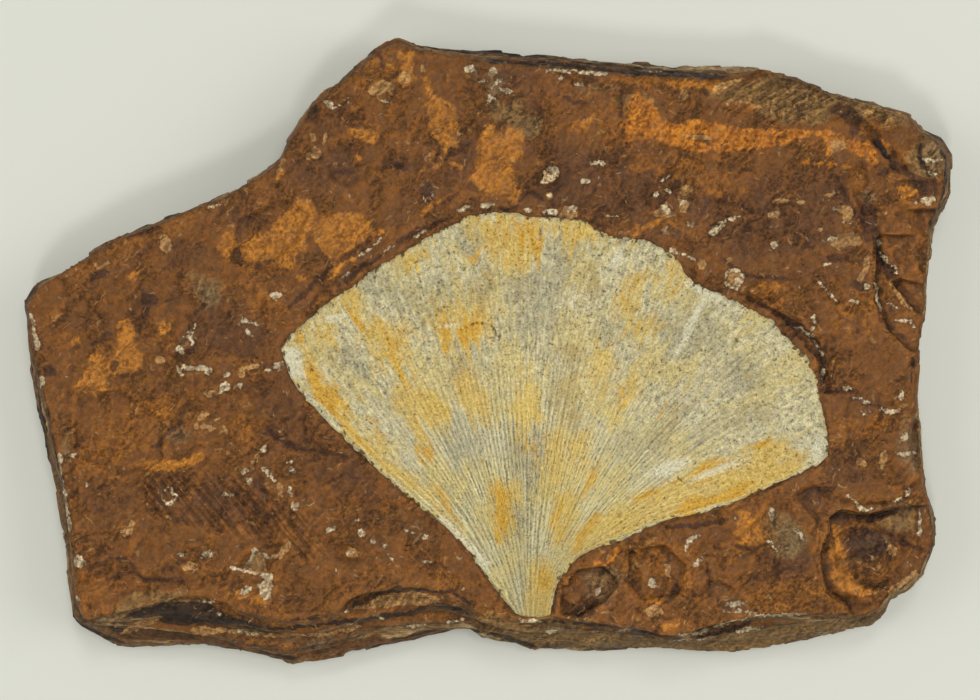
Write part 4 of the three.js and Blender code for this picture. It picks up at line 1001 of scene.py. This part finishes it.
# Guide veins from the stalk end outwards, each with its place along the margin.
GUIDE_VEINS = [
    (0, [(3.7, -35.4), (0.3, -31), (-4, -25.2), (-9.5, -20.5), (-15, -15.8), (-23.5, -7.5), (-26.5, -3.6),
         (-27.9, 0.4)]),
    (0.09, [(4.2, -35.6), (1.3, -29.5), (-4, -20.5), (-11, -11), (-16.5, -3), (-22, 6)]),
    (0.256, [(4.9, -35.8), (3.2, -28), (-0.5, -14), (-4.5, 0), (-9, 15.6)]),
    (0.4, [(5.6, -35.9), (5.3, -25), (5, -10), (4.8, 5), (4.5, 19)]),
    (0.53, [(6.4, -35.9), (7.6, -26), (10.3, -12), (13.5, 1.5), (17, 15.5)]),
    (0.667, [(6.8, -35.9), (8.9, -27.5), (14.5, -15.5), (20.5, -4), (28, 9.3)]),
    (0.81, [(7.2, -35.9), (8, -32.5), (10.2, -28), (18, -18), (27.5, -8.2), (40, 2.3)]),
    (0.906, [(7.9, -35.8), (8.5, -32.8), (9.9, -29.6), (13, -26.2), (21, -19.5), (31.5, -12.6), (44.9, -6)]),
    (1, [(8.5, -35.6), (8.9, -33), (9.4, -31.3), (10.4, -29.9), (11.9, -28.1), (14.3, -26.7), (18.2, -25.4),
         (24, -22.8), (30, -21.4), (36.5, -18.9), (41.5, -16.7), (45.2, -14.8)]),
]
FAN_EDGE = [(-27.9, 0.4), (-27, 2.1), (-22, 6.4), (-16, 10.7), (-11, 13.8), (-7, 16), (-3, 18.2), (1, 19),
            (7, 18.3), (13, 17.8), (15, 16.3), (17, 15.5), (21, 15.2), (25, 13.2), (26.8, 10.5), (28, 9.3),
            (32.5, 7.4), (38, 4.6), (43, -0.5), (44.3, -3.2), (45.3, -7.5), (46.2, -13), (46, -14.1),
            (45.2, -14.8)]


def along(path, shares, smooth=True):
    """Points at the given shares of a path's length, on straight runs or on a smooth curve."""
    path = np.array(path, dtype=float)
    if smooth:
        ends = np.vstack([2 * path[0] - path[1], path, 2 * path[-1] - path[-2]])
        t = np.linspace(0, 1, CURVE_STEPS, endpoint=False)[:, None]
        runs = [
            b + 0.5 * ((c - a) * t + (2 * a - 5 * b + 4 * c - d) * t**2 + (3 * b - a - 3 * c + d) * t**3)
            for a, b, c, d in zip(ends, ends[1:], ends[2:], ends[3:])
        ]
        path = np.vstack([*runs, path[-1:]])
    lengths = np.concatenate([[0], np.cumsum(np.hypot(*np.diff(path, axis=0).T))])
    return np.stack([np.interp(shares * lengths[-1], lengths, path[:, k]) for k in (0, 1)], axis=1)


out_shares = np.linspace(0, 1, BLADE_ROWS + 1)
guide_places = [at for at, _ in GUIDE_VEINS]
guides = np.stack([along(path, out_shares) for _, path in GUIDE_VEINS])

# Veins side by side run together towards the stalk end, in pairs, fours, eights and sixteens.
# Each family closes up over a stretch inside of its fork.
rng = np.random.default_rng(5)
vein_places = (np.arange(VEIN_COUNT) + 0.5 + rng.uniform(-0.22, 0.22, VEIN_COUNT)) / VEIN_COUNT
vein_places = np.repeat(vein_places[:, None], BLADE_ROWS + 1, axis=1)
for level, (first, last) in enumerate(FORKS, 1):
    family = np.arange(VEIN_COUNT) // 2**level
    members = np.bincount(family)
    middle = np.stack([np.bincount(family, column) / members for column in vein_places.T], axis=1)[family]
    fork = rng.uniform(first, last, len(members))[family][:, None]
    apart = 1 - np.exp(-np.maximum(out_shares - fork, 0) / (0.02 + 0.15 * fork))
    vein_places = middle + (vein_places - middle) * apart

# The blade is a fan of rows of points. Each point carries its place, its shares across and out
# along the blade, the row's width, the nearest vein and how far off that is.
rows = []
for row, out in enumerate(out_shares):
    columns = next(count for end, count in BLADE_COLUMNS if out <= end)
    across = np.linspace(0, 1, columns + 1)
    here = np.stack([np.interp(across, guide_places, guides[:, row, k]) for k in (0, 1)], axis=1)
    end = np.stack([np.interp(across, guide_places, guides[:, -1, k]) for k in (0, 1)], axis=1)
    plan = here + out**2 * (along(FAN_EDGE, across, smooth=False) - end)
    width = np.hypot(*np.gradient(plan, axis=0).T) * columns
    after = np.searchsorted(vein_places[:, row], across).clip(1, VEIN_COUNT - 1)
    before_it, after_it = vein_places[after - 1, row], vein_places[after, row]
    nearest = np.where(across - before_it < after_it - across, before_it, after_it)
    outs = np.full(columns + 1, out)
    rows.append(np.stack([*plan.T, across, outs, width, nearest, np.abs(across - nearest) * width]))
starts = np.cumsum([0] + [row.shape[1] for row in rows])
x, y, across, out, width, vein_at, from_vein = np.concatenate(rows, axis=1)

# The plan is centred on the CAD leaf's, and its margin is a little torn.
leaf_low, leaf_high = (np.array(corner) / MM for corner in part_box("ginkgo_leaf"))
x += (leaf_low[0] + leaf_high[0] - x.min() - x.max()) / 2
y += (leaf_low[1] + leaf_high[1] - y.min() - y.max()) / 2
blade = np.stack([across * LEAF_MARGIN, out * LEAF_LENGTH, np.zeros(len(x))], axis=1)
flat = np.stack([x, y, np.zeros(len(x))], axis=1)
from_left, from_right = across * width, (1 - across) * width
from_rim = (1 - out) * LEAF_LENGTH
tear = np.where(out > 0.03, 0.08 + 0.30 * noise(blade, 1.7, 81, 4), 0)
# Straight out from a point below the stalk end, where the veins would meet
heading_x, heading_y = np.stack([x - 5, y + 42]) / np.hypot(x - 5, y + 42)
outwards = tear * np.exp(-from_rim / 0.4)
sideways = tear * (np.exp(-from_right / 0.3) - np.exp(-from_left / 0.3))
x += heading_x * outwards + heading_y * sideways
y += heading_y * outwards - heading_x * sideways

# Relief: a low flat film with fluted, veined and, further out, finely wrinkled skin.
from_margin = np.minimum(np.minimum(from_left, from_right), from_rim)
ridge = np.exp(-((from_vein / VEIN_HALF_WIDTH) ** 2))
vein_strength = (1 - 0.6 * ease(0.5, 0.85, out)) * (0.75 + 0.45 * noise(flat, 9, 82, 2))
wrinkle = noise(blade, 0.55, 83, 2, stretch=(1, 2.4, 1))
relief = LEAF_PROUD * (1 - 0.85 * np.exp(-from_margin / 0.22)) * (1 + 0.25 * noise(flat, 6, 84, 2))
relief += VEIN_HEIGHT * ridge * vein_strength + 0.022 * wrinkle + 0.05 * noise(flat, 3.2, 85, 3)
flutes = np.sin(math.tau * FLUTE_COUNT * across + 2 * noise(flat, 14, 86))
relief += 0.05 * flutes * ease(0.1, 0.4, out)

# A small raised ring and a curled scratch in the film
RING = loop(12.4, 6.6, 1.15, 0.95, sides=12)
CURL = [(-2.4, 3.6), (-1.2, 4.0), (0, 3.8), (0.9, 2.9), (1.1, 2.2)]
# Small things in the blade's skin: height or depth in mm, then the place.
BLADE_MARKS = [
    (0.10, RING),
    (-0.14, line(0.12, *CURL)),
    (0.12, spot(-5.2, 3.6, 1.0, 0.35, 5)),
    (-0.12, line(0.10, (25.5, -16.9), (26.2, -17.5), (27, -18.2))),
    (0.10, line(0.10, (25.7, -16.8), (26.4, -17.4), (27.2, -18.1))),
    (-0.14, spot(23.1, 0.6, 0.25, 0.16)), (-0.14, spot(23.4, -1.2, 0.16, 0.35)),
    (-0.12, spot(23.1, -2.7, 0.14, 0.2)), (-0.12, spot(-9.6, 12.4, 0.5, 0.15, 40)),
]
for height, shape in BLADE_MARKS:
    relief += height * cover([shape], x, y, 0.3)

# What has stained the film: how softly each kind fades out, in mm, and its places.
BLADE_STAINS = {
    "blade_lined": (6.0, [
        area((-9, -4), (-3, 1), (6, 0), (13, 3), (14, -8), (19, -15), (14, -24), (9, -34), (4, -35),
             (0, -26), (-8, -16)),
        *spots((-16, -3, 4, 3, -40), (24, -9, 5, 2.4, 50), (-14, 9, 4, 3, 30)),
    ]),
    "blade_grey": (3.0, [
        area((1.6, 10.4), (9.7, 10.4), (10.4, 3.4), (3, 2.6)),
        area((-7.4, -9.2), (-2.4, -9.6), (-1.6, -15.4), (-5.8, -15.6)),
        area((2.6, -10), (6, -10.2), (9.8, -11.4), (8.4, -17.4), (3.2, -16.8)),
        *lines(0.35, [(-0.8, -23.4), (0.8, -27.4)]),
        *lines(0.4, [(4.2, -21.4), (4.4, -28), (5, -33.8)]),
        *spots((-6.8, 8.8, 1.8, 1.1), (-18.6, -1, 2.6, 1.4, -40), (-10.6, 7, 2.8, 1.8),
               (27.6, 2.6, 5, 3.4, -30), (19, -13, 2.6, 2.6), (34, -3, 4, 2.2, -30), (-11, -7, 3, 1.6),
               (17, 2.6, 2.6, 2.2), (35, -9, 3.4, 1.8, 20), (-15.4, 10.4, 3, 2, 30),
               (22, -12, 3.4, 1.8, 40), (-2.4, 15.6, 2.4, 1.4), (9.4, 12.4, 3, 2), (29, -11, 4, 1.4, 30)),
    ]),
    "blade_brown": (1.8, [
        *spots((-1, 8.4, 1.7, 3.2), (-7.6, 6.4, 0.6, 2.4, -10), (11, 0.2, 2.2, 1.8), (11.6, -9.4, 1.0, 1.8),
               (4, -13, 0.9, 2.4), (10.2, -5.4, 1.8, 3.4, -10), (1.6, -20, 1.8, 1.6),
               (25.4, -8.4, 2.0, 0.8, 40), (14, 9, 1.4, 2.4), (-3.8, -3.2, 1.8, 2.6)),
    ]),
    "blade_yellow": (2.2, [
        area((-2.4, 18.6), (6.2, 18.9), (7.2, 14), (4, 10.6), (1.4, 12), (-1, 14.8)),
        area((-7.2, 5.8), (-3, 6.6), (1.2, 5.2), (0.6, 1.6), (-2, -0.6), (-6.6, 0.4)),
        area((6.8, 17.8), (12, 17.6), (15.8, 15.8), (14.8, 13.6), (9, 15)),
        area((-26, 1.6), (-23.8, 0), (-20.6, -4.6), (-17, -10.6), (-8, -19.4), (-4, -23.4), (-3, -26.4),
             (-6, -23.4), (-12, -17.4), (-19, -11), (-24.4, -5)),
        area((0, -17.2), (3.4, -17.4), (3.8, -24), (0.8, -25)),
        area((8, -18.6), (12.6, -19), (11.8, -25), (8.6, -26.4)),
        area((5.4, -28.4), (9.4, -28.8), (8.9, -36), (5, -36)),
        area((15.1, -21.7), (24, -17.9), (31.4, -14.3), (38.4, -12), (42.2, -12.9), (42.6, -15.4),
             (39, -17.9), (34.1, -20.2), (28.7, -22), (23.2, -23.2), (17.8, -25.6), (12.2, -28.4),
             (11.4, -25.6)),
        *spots((-9.8, 12.5, 2.1, 1.2), (18.8, 6.2, 1.3, 2.8, 10), (20.6, 9.6, 2.0, 1.5),
               (21.6, 3.8, 1.9, 0.9), (25.2, 10.6, 1.1, 1.8), (19.4, -4.8, 1.0, 2.6, -15),
               (17.4, -7.6, 0.9, 2.4, -20), (-18.4, 6.6, 2.6, 1.5, -30), (-14, 2, 3.6, 2.6),
               (-12.6, -1.6, 2.2, 1.8), (-22.6, 3.0, 1.8, 1.0, 40), (-9, -8, 4.4, 2.8, -50),
               (-2, -6, 3.4, 2.2, -60), (9, -14, 1.8, 3.6), (5, -8, 2, 4), (12.6, -13, 1.4, 3.4, -20),
               (15.4, -2, 1.6, 3, -20)),
    ]),
    "blade_orange": (1.2, [
        area((-25.2, -2.4), (-23.2, -2.8), (-20.4, -5.6), (-20.8, -7.4), (-23.2, -6.2)),
        *lines(0.3, [(20, -20), (24, -18.1), (27, -17.4), (31.4, -14.4), (38.4, -12.1)], [(-16, -9),
               (-14.6, -11)]),
        *lines(0.45, [(-19, 6), (-17.4, 3.8)]),
        *lines(0.5, [(11.8, -27), (12.6, -25), (14.6, -22.4)]),
        *lines(0.75, [(26.5, -21.2), (31, -19.8), (35.2, -18.2)]),
        *spots((6.6, 15.2, 0.35, 2.6), (-1.8, 14.2, 0.9, 0.5), (-2.4, 2.6, 2.0, 1.5, 40),
               (-5.8, 2.6, 0.5, 1.8), (-13, 0.3, 0.9, 1.3), (-11.4, -2.7, 1.1, 0.9), (-25.4, 1.7, 0.6, 0.8),
               (2.0, -19.4, 1.8, 0.9, -30), (17.8, -6, 0.5, 0.8), (23.9, -7.2, 0.3, 0.3),
               (-8.6, -13.6, 1.0, 1.4), (7.6, -31, 0.7, 1.6, 10), (1.6, -22.4, 0.7, 2.2, 5),
               (9.4, -23, 0.8, 2.4), (-19.6, -9.8, 2.2, 0.5, -45), (3.4, 16.8, 2.4, 0.9, 10),
               (-5.6, -20.4, 0.4, 1.6, 30), (14, -17, 0.4, 1.8, -25), (6.2, -12, 0.3, 1.6)),
    ]),
    "blade_white": (0.9, [
        area((-27.8, 0.6), (-25.6, 0.4), (-24.6, -3.4), (-27, -3.6)),
        RING,
        *lines(0.5, [(-6.4, -22.4), (-3, -25.9), (-0.4, -28.6)]),
        *spots((-5.2, 3.6, 1.0, 0.35, 5), (-20.8, 4.6, 1.6, 0.5, 10), (29.5, 8.0, 3.0, 0.6, -28),
               (31, -16, 4, 0.5, 22), (44.6, -13, 0.7, 1.8, -10), (24.6, -15.6, 3, 0.9, 20),
               (28, 5, 3.4, 0.5, 62), (26.4, 1.6, 2.6, 0.4, 60), (17.4, 12.6, 1.4, 0.5, 60)),
    ]),
    "blade_dark": (0.25, [
        *lines(0.08, [(-0.2, 2.0), (0.8, 1.9), (1.6, 2.2)]),
        *lines(0.09, [(-2.4, 3.6), (-1.2, 4.0), (0, 3.8), (0.9, 2.9), (1.1, 2.2)]),
        *lines(0.1, [(25.5, -16.9), (26.2, -17.5), (27, -18.2)]),
        *spots((23.1, 0.6, 0.25, 0.16), (23.4, -1.2, 0.16, 0.35), (23.1, -2.7, 0.14, 0.2),
               (-9.6, 12.4, 0.5, 0.12, 40), (19.2, -17.1, 0.5, 0.12, 45)),
    ]),
}
# Stain has spread along the veins far more than across them.
streak = noise(blade, 1.0, 91, 3, stretch=(1, 9, 1))
drift_x = x + 2.4 * streak * heading_x + 0.5 * noise(flat, 2.4, 92, 3)
drift_y = y + 2.4 * streak * heading_y + 0.5 * noise(flat, 2.4, 93, 3)
blade_values = {}
for name, (edge, shapes) in BLADE_STAINS.items():
    fine = edge < 1
    amount = cover(shapes, *((x, y) if fine else (drift_x, drift_y)), edge)
    if not fine:
        amount += (0.35 * streak + 0.25 * noise(flat, 4, 94 + len(name), 4)) * (amount > 0)
    blade_values[name] = np.clip(amount, 0, 1)
in_vein = np.stack([vein_at * VEIN_COUNT * 0.9, out * LEAF_LENGTH / 7, np.zeros(len(x))], axis=1)
blade_values["vein"] = ridge * np.clip(vein_strength, 0, 1)
blade_values["vein_tone"] = 0.5 + 0.5 * noise(in_vein, 1, 95, 3)
blade_values["wrinkle"] = 0.5 + 0.5 * wrinkle
blade_values["cloud"] = 0.5 + 0.5 * noise(flat, 8, 96, 4)
blade_values["straw"] = 0.5 + 0.5 * noise(np.stack([drift_x, drift_y], 1), 5, 99, 5)
blade_values["outer"] = ease(0.35, 0.75, out + 0.1 * noise(flat, 8, 97, 2))
pitted = ease(0.05, 0.4, noise(flat, 0.7, 98, 2) - 0.4 * from_margin)
blade_values["margin_pits"] = pitted * ease(0.9, 0.2, from_margin) * (out > 0.05)
blade_values["across_blade"] = across * LEAF_MARGIN
blade_values["along_blade"] = out * LEAF_LENGTH

points = np.stack([x, y, bedding_height(x, y) + relief], axis=1)
faces = []
for first, after, end in zip(starts, starts[1:], starts[2:]):
    inner = first + np.arange(after - first - 1)
    if end - after == after - first:
        outer = after + inner - first
        faces += np.stack([inner, inner + 1, outer + 1, outer], axis=1).tolist()
    else:
        # Two columns outside for each one inside
        outer = after + 2 * (inner - first)
        faces += np.stack([inner, inner + 1, outer + 1], axis=1).tolist()
        faces += np.stack([inner, outer + 1, outer], axis=1).tolist()
        faces += np.stack([inner + 1, outer + 2, outer + 1], axis=1).tolist()

# Its edge goes down to a plain underside, which lies on the rock.
left_side, right_side = starts[:-1], starts[1:] - 1
rim = np.concatenate([np.arange(starts[0], starts[1]), right_side[1:-1],
                      np.arange(starts[-2], starts[-1])[::-1], left_side[1:-1][::-1]])
foot = points[rim]
foot[:, 2] = bedding_height(foot[:, 0], foot[:, 1]) - LEAF_SEAT + LEAF_LIFT
foot_rim = len(points) + np.arange(len(foot))
points = np.vstack([points, foot])
faces += np.stack([np.roll(rim, 1), np.roll(foot_rim, 1), foot_rim, rim], axis=1).tolist()
faces.append(foot_rim[::-1].tolist())

leaf_mesh = bpy.data.meshes.new("ginkgo_blade")
leaf_mesh.from_pydata(points * MM, [], faces)
leaf = bpy.data.objects.new("ginkgo_blade", leaf_mesh)
bpy.context.scene.collection.objects.link(leaf)
for name, values in blade_values.items():
    write_attribute(leaf_mesh, name, np.concatenate([values, values[rim]]))
select_only(leaf)
bpy.ops.object.shade_smooth()

# Pale clay film: dry and chalky, so it is matt, cream where thick, and its veins stand lighter
# than the grey grooves between them, partly by painted highlight and shade. Iron has stained it from straw
# yellow to golden brown.
clay_film, film = new_material("pale_clay_leaf_film")
place = put(film, "TexCoord", {}, "Object")
marks = {name: put(film, "Attribute", {}, "Fac", attribute_name=name) for name in blade_values}
chalk = put(film, "TexNoise", {"Vector": place, "Scale": 1 / (0.9 * MM), "Detail": 4, "Roughness": 0.65,
                               "Distortion": 0.6})
powder = put(film, "TexNoise", {"Vector": place, "Scale": 1 / (0.26 * MM), "Detail": 2, "Roughness": 0.6})
mixed = put(film, "Math", {0: chalk, 1: powder}, operation="ADD")

# Combed along the veins: noise by its width across them and its length along them, in mm
combed = {}
for wide, long in ((2.2, 5.0), (0.8, 3.2), (0.42, 1.1)):
    lie = put(film, "Math", {0: marks["across_blade"], 1: 1 / wide}, operation="MULTIPLY")
    reach = put(film, "Math", {0: marks["along_blade"], 1: 1 / long}, operation="MULTIPLY")
    lie = put(film, "CombineXYZ", {0: lie, 1: reach})
    combed[wide] = put(film, "TexNoise", {"Vector": lie, "Scale": 1, "Detail": 3, "Roughness": 0.65,
                                          "Distortion": 0.3}, noise_dimensions="2D")
comb = put(film, "Mix", {0: marks["outer"], 2: combed[2.2], 3: combed[0.8]})
ragged = put(film, "Math", {0: comb, 1: 1.6, 2: mixed}, operation="MULTIPLY_ADD")
ragged = put(film, "MapRange", {0: ragged, 1: 1.3, 2: 2.3, 3: -0.36, 4: 0.36})
# Near the stem the felt follows the veins. Further out it is a crust with no direction.
crust = put(film, "TexNoise", {"Vector": place, "Scale": 1 / (0.6 * MM), "Detail": 3, "Roughness": 0.65,
                               "Distortion": 0.8})
crusted = put(film, "MapRange", {0: marks["outer"], 3: 0.15, 4: 0.80})
felt = put(film, "Mix", {0: crusted, 2: combed[0.42], 3: crust})
felt = put(film, "Math", {0: felt, 1: 1.6, 2: powder}, operation="MULTIPLY_ADD")
felt = put(film, "MapRange", {0: felt, 1: 0.85, 2: 1.75})

# Grey grooves between cream veins: partly the film's own colour, partly painted shade in the grooves and
# painted highlight on the raised veins
groove_share = put(film, "MapRange", {0: marks["blade_lined"], 1: 0.1, 2: 0.9, 3: 0.15, 4: 0.85})
groove = put(film, "Mix", {0: groove_share, 6: linear("#bcb189"), 7: linear("#7b735a")}, 2, data_type="RGBA")
crest = put(film, "MapRange", {0: marks["vein_tone"], 1: 0.3, 2: 0.7})
crest = put(film, "Mix", {0: crest, 6: linear("#e0d299"), 7: linear("#faf0b6")}, 2, data_type="RGBA")
on_vein = put(film, "Math", {0: ragged, 1: 1.1, 2: marks["vein"]}, operation="MULTIPLY_ADD")
on_vein = put(film, "MapRange", {0: on_vein, 1: 0.05, 2: 0.65})
color = put(film, "Mix", {0: on_vein, 6: groove, 7: crest}, 2, data_type="RGBA")
# Further out the grooves close, and the skin is finely crumpled.
skin = put(film, "Math", {0: felt, 1: 0.8, 2: marks["wrinkle"]}, operation="MULTIPLY_ADD")
skin = put(film, "MapRange", {0: skin, 1: 0.5, 2: 1.3})
skin = put(film, "Mix", {0: skin, 6: linear("#a1997a"), 7: linear("#faecb8")}, 2, data_type="RGBA")
skin_share = put(film, "MapRange", {0: marks["outer"], 1: 0, 2: 1, 3: 0.25, 4: 0.80})
color = put(film, "Mix", {0: skin_share, 6: color, 7: skin}, 2, data_type="RGBA")

# Layers of stain: the mask, its low and high end, the darkest and lightest tone, the strength
BLADE_LAYERS = [
    ("cloud", 0.50, 0.80, "#b8af8e", "#e6dfbc", 0.55),
    ("straw", 0.42, 0.72, "#c0a65c", "#f0da8c", 0.60),
    ("blade_grey", 0.25, 0.85, "#8a8269", "#c8c09c", 0.60),
    ("blade_brown", 0.20, 0.90, "#8f7442", "#c2a362", 0.50),
    ("blade_yellow", 0.15, 0.85, "#cb9d3c", "#f2d06a", 0.70),
    ("blade_orange", 0.20, 0.80, "#c98f28", "#eebd4b", 0.80),
    ("blade_white", 0.35, 0.70, "#e2dbba", "#faf4d4", 0.65),
    ("margin_pits", 0.35, 0.60, "#4b3a28", "#6b5a3f", 0.85),
    ("blade_dark", 0.35, 0.60, "#4a4232", "#5d523e", 0.75),
]
for name, low, high, dark_tone, light_tone, strength in BLADE_LAYERS:
    edge = put(film, "Math", {0: ragged, 1: marks[name]}, operation="ADD")
    amount = put(film, "MapRange", {0: edge, 1: low, 2: high, 4: strength})
    # In each stain too the veins come out lighter, a painted highlight on their ridges
    tone = put(film, "Math", {0: marks["vein"], 1: 0.5, 2: felt}, operation="MULTIPLY_ADD")
    tone = put(film, "MapRange", {0: tone, 1: 0.2, 2: 1.1})
    tone = put(film, "Mix", {0: tone, 6: linear(dark_tone), 7: linear(light_tone)}, 2, data_type="RGBA")
    color = put(film, "Mix", {0: amount, 6: color, 7: tone}, 2, data_type="RGBA")

# Dark pores in the felt, and a fine speckle
pit = put(film, "MapRange", {0: felt, 1: 0.26, 2: 0.14, 4: 0.75})
color = put(film, "Mix", {0: pit, 6: color, 7: linear("#565040")}, 2, data_type="RGBA")
speckle = put(film, "MapRange", {0: felt, 3: 0.76, 4: 1.20})
speckle = put(film, "CombineColor", {0: speckle, 1: speckle, 2: speckle})
color = put(film, "Mix", {0: 1.0, 6: color, 7: speckle}, 2, data_type="RGBA", blend_type="MULTIPLY")
ground = put(film, "Math", {0: felt, 1: 1.5, 2: mixed}, operation="MULTIPLY_ADD")
bump = put(film, "Bump", {"Height": ground, "Strength": 0.7, "Distance": 0.10 * MM})
surface = put(film, "BsdfPrincipled", {"Base Color": color, "Roughness": 0.85, "Normal": bump, "IOR": 1.45,
                                       "Specular IOR Level": 0.12})
put(film, "OutputMaterial", {"Surface": surface}, None)
leaf_mesh.materials.append(clay_film)

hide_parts("ginkgo_leaf")
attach(leaf, "root")

# ---------------------------------------------------------------------------------------------
# The stage, in metres: a pale paper floor, a camera that looks straight down, soft lamps high up
# in front, behind, on both sides and overhead, and a bright room.
# ---------------------------------------------------------------------------------------------
FLOOR_SIZE = 3
CAMERA_AT = (0.0002, 0.00027, 0.3276)
CAMERA_LENS = 85
bpy.ops.mesh.primitive_plane_add(size=FLOOR_SIZE)
floor = bpy.context.object
floor.name = "floor"
floor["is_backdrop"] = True
paper, sheet = new_material("pale_paper")
surface = put(sheet, "BsdfPrincipled", {"Base Color": linear("#e9eade"), "Roughness": 0.9,
                                        "Specular IOR Level": 0.1})
put(sheet, "OutputMaterial", {"Surface": surface}, None)
floor.data.materials.append(paper)

camera = bpy.data.objects.new("camera", bpy.data.cameras.new("camera"))
bpy.context.scene.collection.objects.link(camera)
camera.location = CAMERA_AT
camera.data.lens = CAMERA_LENS
bpy.context.scene.camera = camera

# Lamps: name, power in watts, size and place. Each one looks at the specimen.
LAMPS = [
    ("key_light", 3.0, 0.20, (-0.08, -0.70, 1.21)),
    ("back_light", 1.9, 0.28, (0.06, 0.63, 1.20)),
    ("right_light", 2.4, 0.60, (0.75, 0.05, 0.75)),
    ("left_light", 2.0, 0.60, (-0.75, 0.05, 0.75)),
    ("ceiling_light", 3.3, 0.34, (0.20, 0.16, 1.38)),
]
for name, power, size, at in LAMPS:
    light = bpy.data.objects.new(name, bpy.data.lights.new(name, "AREA"))
    light.data.energy = power
    light.data.size = size
    light.location = at
    light.rotation_euler = (-light.location).to_track_quat("-Z", "Y").to_euler()
    bpy.context.scene.collection.objects.link(light)

world = bpy.data.worlds.new("soft_room")
bpy.context.scene.world = world
world.use_nodes = True
room = world.node_tree.nodes["Background"].inputs
room["Color"].default_value = linear("#fbfbf8")
room["Strength"].default_value = 0.26
bpy.context.scene.view_settings.view_transform = "Standard"

low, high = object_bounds()
